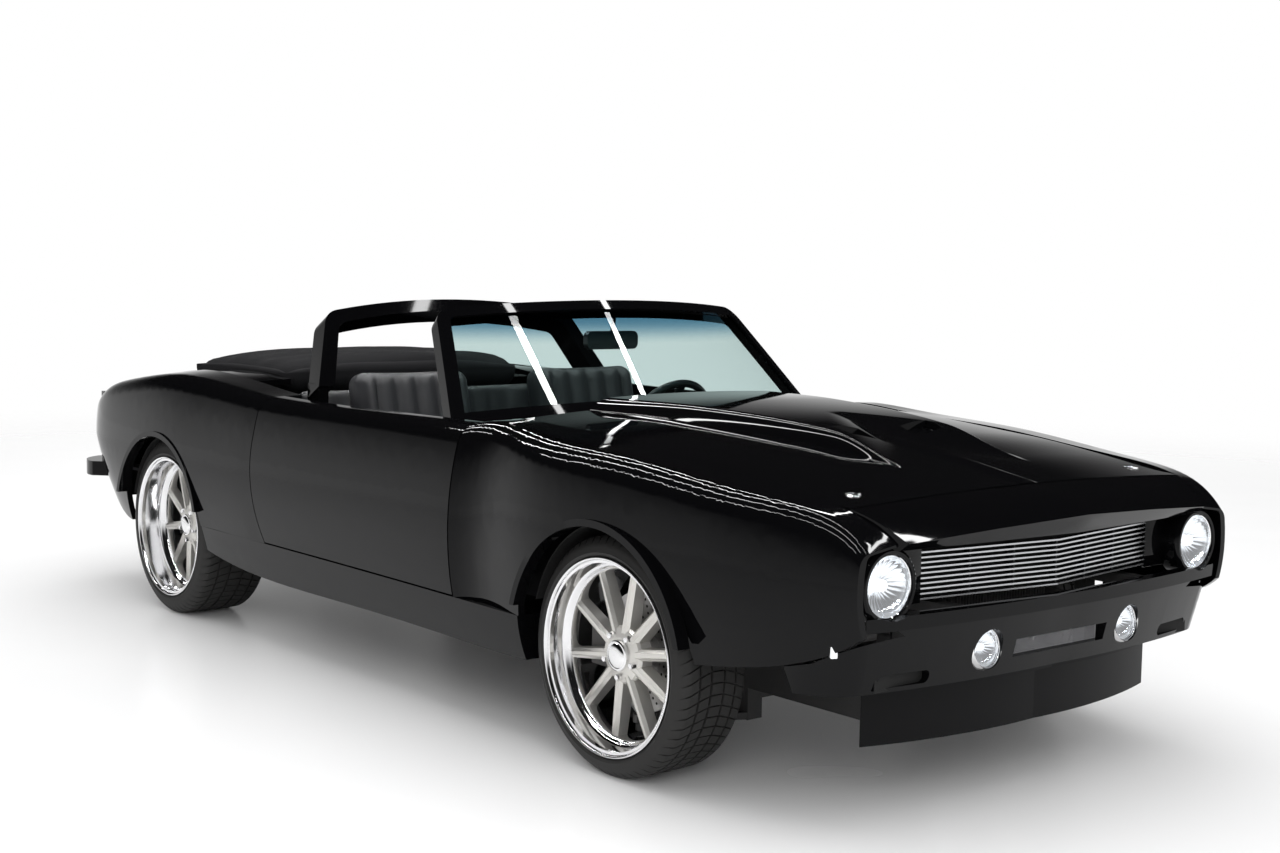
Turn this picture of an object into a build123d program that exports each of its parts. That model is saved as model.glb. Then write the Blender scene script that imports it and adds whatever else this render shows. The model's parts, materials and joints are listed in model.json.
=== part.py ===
"""Two-door muscle car convertible with a roll hoop, built as an assembly of its real pieces.

Millimetres. X runs forward, Y to the car's left, Z up. Stations are measured forward from the front axle line
while modelling, and every piece is moved at export so that the origin lies on the ground, mid-way between the
bumpers. Left-hand pieces are modelled at positive Y and mirrored.
"""

import math
import os
from collections import namedtuple

from build123d import *

# Driving dimensions of the whole car
WHEELBASE = 2743
FRONT_OVERHANG = 905
REAR_OVERHANG = 1000
FRONT_AXLE_X = (WHEELBASE + REAR_OVERHANG - FRONT_OVERHANG) / 2
NOSE = FRONT_OVERHANG
REAR_AXLE = -WHEELBASE
TAIL = REAR_AXLE - REAR_OVERHANG
PANEL_GAP = 6
SEAT_GAP = 0.3

# Wheels: the lip plane is where the rim's polished lip ends, measured from the car's centre line
RIM_LIP_R = 271
RIM_SEAT_R = 254
RIM_BARREL_R = 236
RIM_FLANGE = 9
LIP_PLANE_Y = 875
SPOKES = 10
WHEEL_TURN = 9
LUGS = 5
LUG_CIRCLE_R = 60.3
LUG_HOLE_R = 9
HUB_R = 84
CAP_R = 42
CAP_RISE = 14
WheelSize = namedtuple("WheelSize", "tyre_r width dish")
FRONT_WHEEL = WheelSize(tyre_r=327.5, width=245, dish=66)
REAR_WHEEL = WheelSize(tyre_r=339.5, width=285, dish=98)
FRONT_HUB_Z = FRONT_WHEEL.tyre_r
REAR_HUB_Z = REAR_WHEEL.tyre_r
SPOKE_WIDTH = 30
SPOKE_DEPTH = 40
SPOKE_BEVEL = 8
HUB_RISE = 14
DISC_R = 165
DISC_THICK = 28
DISC_BEHIND_SPOKES = 30
HUB_BORE_R = 32
SPINDLE_R = 26

# Wheel openings
FRONT_ARCH_R = 357
REAR_ARCH_R = 352
ARCH_LIP = 20
ARCH_LIP_Y = 926
FRONT_LIP_Z = 420
REAR_LIP_Z = 440
WELL_WALL = 5
FRONT_WELL_END_Y = 846
REAR_WELL_END_Y = 856
FRONT_WELL_Y = 455
REAR_WELL_Y = 560
FRONT_WELL_Z = 430
REAR_WELL_Z = 430
ARM_WINDOW_Z = 585
TUB_FRONT = REAR_AXLE + 359

# Body skin and joints between panels
SKIN = 22
PANEL_THICK = 20
DOOR_FRONT = -698
DOOR_REAR_TOP = -1966
DOOR_REAR_MID = -1952
DOOR_REAR_FOOT = -1890
DOOR_REAR_SLANT = 0.14
DOOR_SKIN_Y = 917
DOOR_INNER_Y = 787
DOOR_SILL_Z = 392
ROCKER_TOP_Z = DOOR_SILL_Z - PANEL_GAP
ROCKER_INNER_Y = 690
HOOD_REAR = -664
HOOD_FRONT = 702
HOOD_HALF = 684
QUARTER_END = REAR_AXLE - 897
QUARTER_STATIONS = [REAR_AXLE + rise for rise in (543, 293, 143, 0, -257, -457, -697)]
LID_FRONT = REAR_AXLE - 557
LID_REAR = REAR_AXLE - 912

# Body side, one row for each station: inner top edge, fall of the top, shoulder radius, widest point, side radius,
# lower edge
SideRow = namedtuple("SideRow", "station edge_y edge_z fall shoulder wide_y wide_z side_r low_y low_z")
SIDE_ROWS = [
    SideRow(818, 632, 722, 8, 40, 766, 610, 400, 745, 505),
    SideRow(700, 685, 796, 8, 60, 818, 604, 560, 790, 440),
    SideRow(600, 690, 815, 7.5, 67, 848, 602, 690, 817, 412),
    SideRow(500, 690, 832, 7, 74, 872, 600, 800, 838, 392),
    SideRow(0, 690, 884, 5, 85, 921, 610, 1000, 890, 330),
    SideRow(-350, 690, 903, 4, 85, 921, 600, 1000, 870, 250),
    SideRow(-700, 700, 908, 3, 80, 917, 590, 1000, 860, 250),
    SideRow(-1300, 720, 899, 3, 70, 912, 585, 1000, 855, 250),
    SideRow(-1970, 720, 900, 3, 70, 914, 590, 1000, 860, 250),
    SideRow(REAR_AXLE + 393, 700, 928, 4, 80, 919, 600, 1000, 870, 290),
    SideRow(REAR_AXLE, 690, 942, 5, 90, 921, 620, 1000, 895, 340),
    SideRow(REAR_AXLE - 457, 660, 900, 6, 90, 898, 630, 900, 850, 340),
    SideRow(REAR_AXLE - 697, 640, 858, 7, 84, 862, 640, 800, 830, 530),
    SideRow(REAR_AXLE - 937, 600, 805, 8, 60, 770, 650, 600, 755, 552),
]

# Crowned panels, one row for each station: half width, height at the side edge and on the centre line
PanelRow = namedtuple("PanelRow", "station half edge_z crown_z")
HOOD_ROWS = [
    PanelRow(HOOD_FRONT, HOOD_HALF - 8, 798, 816),
    PanelRow(450, HOOD_HALF - 1, 834, 856),
    PanelRow(150, HOOD_HALF, 869, 897),
    PanelRow(-300, HOOD_HALF, 901, 928),
    PanelRow(HOOD_REAR, HOOD_HALF, 909, 936),
]
LID_ROWS = [
    PanelRow(LID_FRONT, 646, 884, 902),
    PanelRow(REAR_AXLE - 737, 626, 850, 868),
    PanelRow(LID_REAR, 596, 808, 822),
]
DECK_ROWS = [
    PanelRow(REAR_AXLE + 413, 697, 922, 940),
    PanelRow(REAR_AXLE, 686, 938, 956),
    PanelRow(REAR_AXLE - 307, 667, 916, 934),
    PanelRow(LID_FRONT + PANEL_GAP, 648, 882, 902),
]

# Hood bulge: half width at its foot and top, and rise over the hood
BulgeRow = namedtuple("BulgeRow", "station foot_half top_half rise")
BULGE_ROWS = [
    BulgeRow(90, 370, 290, 42),
    BulgeRow(-250, 400, 310, 40),
    BulgeRow(HOOD_REAR, 420, 330, 34),
]
BULGE_CROWN = 6
SCOOP_INNER_Y = 50
SCOOP_OUTER_Y = 270
SCOOP_DEPTH = 190
SCOOP_HEIGHT = 30
SPINE_HALF = 34
SPINE_RISE = 12

# Nose, one row for each width: height at the hood, lip and mouth corner
NoseRow = namedtuple("NoseRow", "y hood_z lip_x lip_z mouth_x")
NOSE_ROWS = [
    NoseRow(0, 814, NOSE, 757, 872),
    NoseRow(330, 811, 872, 742, 848),
    NoseRow(690, 797, 832, 720, 816),
]
NOSE_CROWN = 9
NOSE_SEAM = [(690, 685), (708, 680), (818, 628), (860, 608)]
MOUTH_TOP_Z = 706
MOUTH_FOOT_Z = 552
LAMP_Y = 640
LAMP_Z = 618
LAMP_R = 80
LAMP_X = 800
LAMP_PANEL_END_Y = 718
LAMP_PANEL_TOP_Z = 748
GRILLE_HALF = 470
GRILLE_BARS = 10
GRILLE_PITCH = 13
GRILLE_FOOT_Z = 560
BAR_HEIGHT = 6
BAR_DEPTH = 14
GRILLE_PEAK_X = 812
GRILLE_END_X = 752

# Bumper, valance, dam and tail lines in plan, from the centre outwards, arcs through each second point
BUMPER_LINE = [(866, 0), (852, 400), (812, 725)]
BUMPER_WALL = 34
BUMPER_FOOT_Z = 514
BUMPER_TOP_Z = 548
VALANCE_LINE = [(852, 0), (838, 420), (800, 690), (740, 790), (600, 838)]
VALANCE_FOOT_Z = 350
VALANCE_WALL = 24
VALANCE_TAPER = 14
FENDER_FOOT_LINE = [(500, 384), (700, 432), (812, 494)]
FOG_X = 790
FOG_Y = 291
FOG_Z = 430
FOG_R = 50
FOG_TUBE_R = 62
DUCT_INNER_Y = 480
DUCT_OUTER_Y = 640
DUCT_Z = 362
DUCT_HEIGHT = 34
MESH_HALF = 190
MESH_X = 795
MESH_Z = 394
MESH_HEIGHT = 48
DAM_LINE = [(748, 0), (735, 330), (676, 592)]
DAM_FOOT_Z = 190
DAM_TOP_Z = 344
DAM_THICK = 10
DAM_FLANGE = 56
REAR_BUMPER_LINE = [(TAIL, 0), (TAIL + 21, 450), (TAIL + 63, 762), (TAIL + 143, 846), (TAIL + 257, 868)]
REAR_BUMPER_WALL = 60
REAR_BUMPER_FOOT_Z = 462
REAR_BUMPER_TOP_Z = 522
TAIL_LINE = [(TAIL + 31, 0), (TAIL + 39, 400), (TAIL + 69, 748)]
TAIL_FOOT_Z = REAR_BUMPER_TOP_Z + SEAT_GAP
TAIL_TOP_Z = 802
TAIL_LAMP_Y = (330, 480)
TAIL_LAMP_WIDTH = 140
TAIL_LAMP_Z = 640
TAIL_LAMP_HEIGHT = 86
TAIL_LAMP_PROUD = 5
REAR_VALANCE_LINE = [
    (x + REAR_BUMPER_WALL + SEAT_GAP, y - REAR_BUMPER_WALL if y else 0) for x, y in REAR_BUMPER_LINE[:3]
]
REAR_VALANCE_WALL = 20
REAR_VALANCE_FOOT_Z = 350
REAR_VALANCE_TOP_Z = 487

# Windshield: a bowed sheet whose axis climbs backwards
SCREEN_BASE_X = -709
SCREEN_BASE_Z = 921
SCREEN_LEAN = 43
SCREEN_BOW_R = 2000
SCREEN_BASE_HALF = 776
SCREEN_TOP_HALF = 645
SCREEN_BASE_BOW = 104
SCREEN_RISE = 494
SCREEN_TOP_BOW = 70
SCREEN_CORNER = 60
SCREEN_BAR = 42
SCREEN_THICK = 44
GLASS_INSET = 8
GLASS_THICK = 6
MIRROR_X = -1089
MIRROR_Z = 1121
MIRROR_WIDTH = 220
MIRROR_HEIGHT = 62

# Roll hoop, in its own leaning plane
HOOP_BASE_X = DOOR_REAR_TOP
HOOP_BASE_Z = 905
HOOP_BASE_HALF = 664
HOOP_SHOULDER_HALF = 552
HOOP_SHOULDER_Z = 1166
HOOP_TOP_X = HOOP_BASE_X - 174
HOOP_TOP_Z = 1212
HOOP_BAR = 42
HOOP_DEPTH = 96
HOOP_CORNER = 80
HOOP_LEG_X = (HOOP_BASE_X - 50, HOOP_BASE_X + 34)
HOOP_LEG_Y = 620

# Folded top under its boot
BOOT_FRONT = REAR_AXLE + 358
BOOT_REAR = REAR_AXLE - 457
BOOT_HALF = 558
BootRow = namedtuple("BootRow", "station half foot_z top_z")
BOOT_ROWS = [
    BootRow(BOOT_FRONT - 4, BOOT_HALF - SEAT_GAP, 860, 940),
    BootRow(BOOT_FRONT - 135, BOOT_HALF - SEAT_GAP, 860, 1002),
    BootRow(BOOT_REAR + 300, BOOT_HALF - SEAT_GAP, 860, 992),
    BootRow(BOOT_REAR + SEAT_GAP, BOOT_HALF - SEAT_GAP, 860, 930),
]

# Floor, firewall and mechanical pieces
FLOOR_Z = 250
FLOOR_THICK = 12
FLOOR_HALF = ROCKER_INNER_Y - SEAT_GAP
FIREWALL_X = -600
FIREWALL_TOP_Z = 880
TOE_Z = 450
TOE_X = -860
HEEL_X = REAR_AXLE + 623
PAN_X = REAR_AXLE + 513
PAN_Z = 410
TRUNK_X = REAR_AXLE + 273
TRUNK_Z = 475
TRUNK_END = REAR_AXLE - 817
TUNNEL_HALF = 150
TUNNEL_TOP_HALF = 100
TUNNEL_Z = 492
POST_FRONT = -612
POST_INNER_Y = 692
POST_OUTER_Y = 824
POST_TOP_Z = 815
COWL_HALF = 700
COWL_Z = 856
RAIL_Y = 380
RAIL_WIDTH = 90
RAIL_HEIGHT = 90
RAIL_Z = 200
RAIL_FRONT = 640
ARM_BRACKET_Z = 108
TOWER_Y = 390
TOWER_Z = 552
RAIL_REAR = -805
ENGINE_FRONT = 330
ENGINE_LENGTH = 720
ENGINE_HALF = 250
ENGINE_Z = 320
ENGINE_TOP_Z = 800
SHAFT_Z = 360
TANK_X = (REAR_AXLE - 757, REAR_AXLE - 307)
TANK_HALF = 255
TANK_Z = (270, 474.7)
PIPE_Y = 292
PIPE_Z = 207.5
PIPE_R = 27
SPRING_Y = 500
SPRING_WIDTH = 60
SPRING_THICK = 24

# Steering and suspension
KINGPIN_Y = LIP_PLANE_Y - FRONT_WHEEL.width / 2
BALL_RISE = 182
BALL_R = 11
ARM_NECK = 17
ARM_NECK_Y = 556
KNUCKLE_INNER_Y = 650
KNUCKLE_OUTER_Y = 694
STEERING_WHEEL_R = 178
STEERING_RIM_R = 14
STEERING_WHEEL_X = -1235
STEERING_WHEEL_Y = 380
STEERING_WHEEL_Z = 800
STEERING_TILT = 28
COLUMN_R = 22

# Dash and seats
DASH_HALF = 668
SEAT_Y = 386
SEAT_HALF = 238
SEAT_FRONT = -1180
SEAT_REAR = -1690
SEAT_TOP_Z = 480
SEAT_BACK_Z = 975
SEAT_BACK_LEAN = 120
BENCH_HALF = 545
BENCH_FRONT = REAR_AXLE + 813
BENCH_TOP_Z = 520
BENCH_BACK_Z = 885
BENCH_FOOT_Z = PAN_Z + FLOOR_THICK + SEAT_GAP


def fair(rows, column, station):
    """Value of one column at a station, on a smooth cubic through rows that run from the front to the back."""
    xs = [r.station for r in rows]
    vs = [getattr(r, column) for r in rows]
    last = len(xs) - 1
    i = next((k for k in range(last - 1) if station >= xs[k + 1]), last - 1)

    def slope(k):
        a, b = (max(k - 1, 0), min(k + 1, last))
        return (vs[b] - vs[a]) / (xs[b] - xs[a])

    span = xs[i + 1] - xs[i]
    t = (station - xs[i]) / span
    return (
        vs[i] * (1 + 2 * t) * (1 - t) ** 2
        + slope(i) * span * t * (1 - t) ** 2
        + vs[i + 1] * t * t * (3 - 2 * t)
        + slope(i + 1) * span * t * t * (t - 1)
    )


def closed_wire(place, start, *moves):
    """Closed wire of lines and arcs. A move is (end,) or (middle, end), and place puts a 2-D point in space."""
    edges = []
    here = start
    for move in moves:
        points = [place(p) for p in (here, *move)]
        edges.append(Line(*points) if len(move) == 1 else ThreePointArc(*points))
        here = move[-1]
    if math.dist(here, start) > 1e-6:
        edges.append(Line(place(here), place(start)))
    return Wire([e.edge() for e in edges])


def at_station(station):
    """Places (y, z) in the plane across the car at a station."""
    return lambda p: (station, p[0], p[1])


def at_width(y):
    """Places (x, z) in the plane along the car at a width."""
    return lambda p: (p[0], y, p[1])


def on_floor(p):
    """Places (x, y) on the ground plane."""
    return (p[0], p[1], 0)


def loft_wires(wires, ruled=False):
    """Solid through closed wires."""
    return Solid.make_loft(wires, ruled)


def both_sides(shape):
    """A left-hand piece and its mirror image, as separate solids."""
    return Compound([*shape.solids(), *mirror(shape, about=Plane.XZ).solids()])


def box(x, y, z):
    """Box from (low, high) pairs."""
    centre = Pos((x[0] + x[1]) / 2, (y[0] + y[1]) / 2, (z[0] + z[1]) / 2)
    return centre * Box(x[1] - x[0], y[1] - y[0], z[1] - z[0])


def rod(start, end, radius, end_radius=None):
    """Round bar between two points, tapered where a second radius is given."""
    a, b = Vector(*start), Vector(*end)
    length = (b - a).length
    align = (Align.CENTER, Align.CENTER, Align.MIN)
    if end_radius is None:
        bar = Cylinder(radius, length, align=align)
    else:
        bar = Cone(radius, end_radius, length, align=align)
    return Plane(origin=a, z_dir=(b - a).normalized()) * bar


def disc_y(radius, y, x=0.0, z=0.0):
    """Cylinder along Y between the two widths of y."""
    return rod((x, y[0], z), (x, y[1], z), radius)


def side_prism(start, moves, y):
    """Solid of a side outline in (x, z) between two widths."""
    return extrude(Face(closed_wire(at_width(y[0]), start, *moves)), amount=y[1] - y[0], dir=(0, 1, 0))


def plan_prism(start, moves, z):
    """Solid of a plan outline in (x, y) between two heights."""
    face = Face(closed_wire(on_floor, start, *moves))
    return Pos(0, 0, z[0]) * extrude(face, amount=z[1] - z[0], dir=(0, 0, 1))


def mirrored_moves(half):
    """Plan moves from the right-hand end of a symmetric line to its left-hand end.

    The half line is given from the centre outwards as (x, y) points, and arcs run through each second point.
    """
    right = [(x, -y) for x, y in reversed(half)]
    points = right + half[1:]
    return points[0], [(points[i], points[i + 1]) for i in range(1, len(points) - 1, 2)]


def whole(shape):
    """The largest solid of a boolean result."""
    return shape.solids().sort_by(SortBy.VOLUME)[-1]


class SideSection:
    """Outline of the body side at a station, made of tangent lines and arcs, or the same line inset by a skin."""

    def __init__(self, station, inset=0.0):
        row = SideRow(station, *(fair(SIDE_ROWS, c, station) for c in SideRow._fields[1:]))
        tilt = math.radians(row.fall)
        along = Vector(math.cos(tilt), -math.sin(tilt))
        inward = Vector(-math.sin(tilt), -math.cos(tilt))
        edge = Vector(row.edge_y, row.edge_z)
        side_centre = Vector(row.wide_y - row.side_r, row.wide_z)
        low_r = ((row.wide_y - row.low_y) ** 2 + (row.wide_z - row.low_z) ** 2) / (2 * (row.wide_y - row.low_y))
        low_centre = Vector(row.wide_y - low_r, row.wide_z)
        offset = edge + inward * row.shoulder - side_centre
        half_b = offset.dot(along)
        reach = -half_b + math.sqrt(half_b**2 - offset.dot(offset) + (row.side_r - row.shoulder) ** 2)
        shoulder_centre = edge + inward * row.shoulder + along * reach
        outward = (shoulder_centre - side_centre).normalized()
        low_way = (Vector(row.low_y, row.low_z) - low_centre).normalized()
        self.along = along
        self.edge = edge + inward * inset
        self.top_end = shoulder_centre - inward * (row.shoulder - inset)
        self.shoulder_mid = shoulder_centre + (outward - inward).normalized() * (row.shoulder - inset)
        self.side_top = side_centre + outward * (row.side_r - inset)
        self.side_mid = side_centre + (outward + Vector(1, 0)).normalized() * (row.side_r - inset)
        self.widest = Vector(row.wide_y - inset, row.wide_z)
        self.low_mid = low_centre + (low_way + Vector(1, 0)).normalized() * (low_r - inset)
        self.low = low_centre + low_way * (low_r - inset)

    def flat(self, name):
        """One of the outline's points as a (y, z) pair."""
        point = getattr(self, name)
        return point.X, point.Y

    def top_at(self, y):
        """Point of the top line, or its run-on, at a width."""
        point = self.edge + self.along * ((y - self.edge.X) / self.along.X)
        return point.X, point.Y

    def moves(self):
        """The outline from its top line down to its lower edge."""
        return [
            (self.flat("top_end"),),
            (self.flat("shoulder_mid"), self.flat("side_top")),
            (self.flat("side_mid"), self.flat("widest")),
            (self.flat("low_mid"), self.flat("low")),
        ]


def side_wall(stations, inner_y=None):
    """Body side as thick as the whole wall, from its skin to its inner top edge or to a plane."""
    wires = []
    for station in stations:
        s = SideSection(station)
        start = s.flat("edge") if inner_y is None else s.top_at(inner_y)
        foot = (start[0], s.flat("low")[1])
        wires.append(closed_wire(at_station(station), start, *s.moves(), (foot,)))
    return loft_wires(wires)


def side_void(stations, past=120):
    """The hollow inside a body side of plain sheet, open downwards and inwards."""
    wires = []
    for station in stations:
        s = SideSection(station, SKIN)
        top = s.flat("edge")
        low = s.flat("low")
        start = (top[0] - past, top[1])
        foot = (low[0], low[1] - past)
        moves = [(top,), *s.moves(), (foot,), ((start[0], foot[1]),)]
        wires.append(closed_wire(at_station(station), start, *moves))
    return loft_wires(wires)


def arch_cut(axle_x, axle_z, radius, inner_y):
    """Everything that a wheel opening takes out of the left side."""
    return disc_y(radius, (inner_y, ARCH_LIP_Y + 100), axle_x, axle_z)


def arch_lip(axle_x, axle_z, radius, low_z):
    """Rolled lip that stands proud round a wheel opening, down to a height."""
    ring = disc_y(radius + ARCH_LIP, (ARCH_LIP_Y - ARCH_LIP * 2, ARCH_LIP_Y), axle_x, axle_z)
    ring = ring - disc_y(radius, (ARCH_LIP_Y - 100, ARCH_LIP_Y + 100), axle_x, axle_z)
    span = 2 * radius
    return ring & box((axle_x - span, axle_x + span), (0, 2 * ARCH_LIP_Y), (low_z, 2 * ARCH_LIP_Y))


def door_opening(grow):
    """Prism through the body side with the outline of the door, its rear face slanted so that the door swings clear."""
    front = DOOR_FRONT + grow if grow else 0
    foot_z = DOOR_SILL_Z - grow
    face = Face(
        closed_wire(
            at_width(DOOR_SKIN_Y),
            (front, 1200),
            ((front, foot_z),),
            ((DOOR_REAR_FOOT - grow, foot_z),),
            ((DOOR_REAR_MID - grow, 560), (DOOR_REAR_TOP - grow, 760)),
            ((DOOR_REAR_TOP - grow, 1200),),
        )
    )
    inwards = extrude(face, amount=400, dir=(DOOR_REAR_SLANT, -1, 0))
    outwards = extrude(face, amount=200, dir=(-DOOR_REAR_SLANT, 1, 0))
    return inwards + outwards


# Body panels


def front_fenders():
    wall = side_wall([818, 700, 500, 250, 0, -350, DOOR_FRONT + PANEL_GAP])
    hollow = side_void([850, 700, 500, 250, 0, -350, DOOR_FRONT - 60])
    shell = wall - hollow
    shell = shell - arch_cut(0, FRONT_HUB_Z, FRONT_ARCH_R, FRONT_WELL_Y - 100)
    shell = shell + arch_lip(0, FRONT_HUB_Z, FRONT_ARCH_R, FRONT_LIP_Z)
    shell = shell - box((-2000, 0), (0, 1200), (0, ROCKER_TOP_Z + SEAT_GAP))
    return both_sides(whole(shell))


def quarter_panels():
    wall = side_wall([-1860, -1970, *QUARTER_STATIONS, QUARTER_END])
    hollow = side_void([TUB_FRONT, *QUARTER_STATIONS[2:], QUARTER_END - 60])
    shell = wall - hollow
    shell = shell - door_opening(PANEL_GAP)
    shell = shell - arch_cut(-WHEELBASE, REAR_HUB_Z, REAR_ARCH_R, REAR_WELL_Y - 100)
    shell = shell + arch_lip(-WHEELBASE, REAR_HUB_Z, REAR_ARCH_R, REAR_LIP_Z)
    shell = shell - box((-WHEELBASE, 0), (0, 1200), (0, ROCKER_TOP_Z + SEAT_GAP))
    return both_sides(whole(shell))


def door():
    wall = side_wall([DOOR_FRONT, -1000, -1300, -1650, -2000], DOOR_INNER_Y)
    return whole(wall & door_opening(0))


def rocker_panels():
    bar = side_wall([-300, -700, -1300, -1970, REAR_AXLE + 353], ROCKER_INNER_Y)
    bar = bar - box((REAR_AXLE, 0), (0, 1200), (ROCKER_TOP_Z, 2000))
    bar = bar - arch_cut(0, FRONT_HUB_Z, FRONT_ARCH_R + PANEL_GAP, 300)
    bar = bar - arch_cut(-WHEELBASE, REAR_HUB_Z, REAR_ARCH_R + PANEL_GAP, 300)
    return both_sides(whole(bar))


def crowned_panel(rows, thick):
    """Panel between two side edges, crowned across and following its rows along the car."""
    wires = []
    for row in rows:
        edge = row.edge_z - thick
        crown = row.crown_z - thick
        wires.append(
            closed_wire(
                at_station(row.station),
                (-row.half, row.edge_z),
                ((0, row.crown_z), (row.half, row.edge_z)),
                ((row.half, edge),),
                ((0, crown), (-row.half, edge)),
            )
        )
    return loft_wires(wires)


def hood():
    shape = crowned_panel(HOOD_ROWS, PANEL_THICK)
    wires = []
    for row in BULGE_ROWS:
        foot = fair(HOOD_ROWS, "crown_z", row.station) - PANEL_THICK
        shoulder = foot + PANEL_THICK + row.rise - BULGE_CROWN
        crown = shoulder + BULGE_CROWN
        wires.append(
            closed_wire(
                at_station(row.station),
                (-row.foot_half, foot),
                ((-row.top_half, shoulder),),
                ((0, crown), (row.top_half, shoulder)),
                ((row.foot_half, foot),),
            )
        )
    shape = shape + loft_wires(wires)
    mouth = BULGE_ROWS[0].station
    mouth_z = fair(HOOD_ROWS, "crown_z", mouth)
    for side in (-1, 1):
        width = sorted((side * SCOOP_INNER_Y, side * SCOOP_OUTER_Y))
        shape = shape - box((mouth - SCOOP_DEPTH, mouth + 10), width, (mouth_z, mouth_z + SCOOP_HEIGHT))
    wires = []
    for station in (HOOD_FRONT, 400, mouth - SPINE_HALF):
        crown = fair(HOOD_ROWS, "crown_z", station)
        foot = crown - PANEL_THICK / 2
        wires.append(
            closed_wire(
                at_station(station), (-SPINE_HALF, foot), ((0, crown + SPINE_RISE),), ((SPINE_HALF, foot),)
            )
        )
    return whole(shape + loft_wires(wires))


def header_panel():
    """Nose panel between hood and mouth, with a peak on the centre line."""
    back = HOOD_FRONT + PANEL_GAP
    wires = []
    for row in NOSE_ROWS:
        middle = ((back + row.lip_x) / 2, (row.hood_z + row.lip_z) / 2 + NOSE_CROWN)
        wires.append(
            closed_wire(
                at_width(row.y),
                (back, row.hood_z),
                (middle, (row.lip_x, row.lip_z)),
                ((row.mouth_x, MOUTH_TOP_Z),),
                ((row.mouth_x - SKIN, MOUTH_TOP_Z),),
                ((middle[0] - SKIN / 3, middle[1] - SKIN),),
                ((back, row.hood_z - SKIN),),
            )
        )
    left = loft_wires(wires, ruled=True)
    seam = [((x, y),) for x, y in NOSE_SEAM[1:]] + [((NOSE_SEAM[-1][0], 900),), ((NOSE_SEAM[0][0], 900),)]
    left = left - plan_prism(NOSE_SEAM[0], seam, (600, 900))
    return whole(left + mirror(left, about=Plane.XZ))


def trunk_lid():
    return crowned_panel(LID_ROWS, PANEL_THICK)


def rear_deck():
    """Panel round the folded top, up to the trunk lid."""
    plate = crowned_panel(DECK_ROWS, PANEL_THICK)
    return whole(plate - box((BOOT_REAR, 0), (-BOOT_HALF, BOOT_HALF), (0, 2000)))


def tail_panel():
    """Upright panel under the trunk lid with its lamp recesses."""
    start, moves = mirrored_moves(TAIL_LINE)
    near = QUARTER_END - SEAT_GAP
    far = LID_REAR - PANEL_GAP
    inner = [((near, 752),), ((near, 612),), ((far, 608),), ((far, -608),), ((near, -612),), ((near, -752),)]
    panel = plan_prism(start, moves + inner, (TAIL_FOOT_Z, TAIL_TOP_Z))
    for cell in tail_lamp_cells(SEAT_GAP):
        panel = panel - cell
    return whole(panel)


def tail_lamp_cells(grow):
    """Blocks of the tail lamps, two on each side."""
    cells = []
    for side in (-1, 1):
        for near in TAIL_LAMP_Y:
            width = sorted((side * (near - grow), side * (near + TAIL_LAMP_WIDTH + grow)))
            height = (TAIL_LAMP_Z - grow, TAIL_LAMP_Z + TAIL_LAMP_HEIGHT + grow)
            cells.append(box((-4000, LID_REAR - PANEL_GAP - 20 + grow), width, height))
    return cells


def tail_lamps():
    start, moves = mirrored_moves([(x - TAIL_LAMP_PROUD, y) for x, y in TAIL_LINE])
    block = plan_prism(start, moves + [((LID_REAR, 748),), ((LID_REAR, -748),)], (TAIL_FOOT_Z, TAIL_TOP_Z))
    return Compound([whole(block & cell) for cell in tail_lamp_cells(0)])


def bumper_bar(line, wall, z):
    """Bar that follows a plan line, a wall thick to the inside."""
    start, moves = mirrored_moves(line)
    sense = 1 if line[0][0] > line[-1][0] else -1
    inner = [(x - sense * wall, y - wall * (1 if y else 0)) for x, y in line]
    back_start, back = mirrored_moves(inner)
    points = [back_start] + [p for move in back for p in move]
    points.reverse()
    inner_moves = [(points[0],)] + [(points[i], points[i + 1]) for i in range(1, len(points) - 1, 2)]
    return plan_prism(start, moves + inner_moves, z)


def front_bumper():
    bar = bumper_bar(BUMPER_LINE, BUMPER_WALL, (BUMPER_FOOT_Z, BUMPER_TOP_Z))
    for side in (-1, 1):
        bar = bar - rod((LAMP_X - 100, side * LAMP_Y, LAMP_Z), (NOSE, side * LAMP_Y, LAMP_Z), LAMP_R + SEAT_GAP)
    return whole(bar)


def rear_bumper():
    return bumper_bar(REAR_BUMPER_LINE, REAR_BUMPER_WALL, (REAR_BUMPER_FOOT_Z, REAR_BUMPER_TOP_Z))


def valance_block(inset):
    """Filled form of the front valance, drawn in towards its foot."""
    start, moves = mirrored_moves(VALANCE_LINE)
    face = Face(closed_wire(on_floor, start, *moves))
    if inset:
        face = offset(face, amount=-inset).face()
    top = BUMPER_FOOT_Z - SEAT_GAP
    depth = top - VALANCE_FOOT_Z
    return Pos(0, 0, top) * extrude(face, amount=depth, dir=(0, 0, -1), taper=VALANCE_TAPER)


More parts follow.
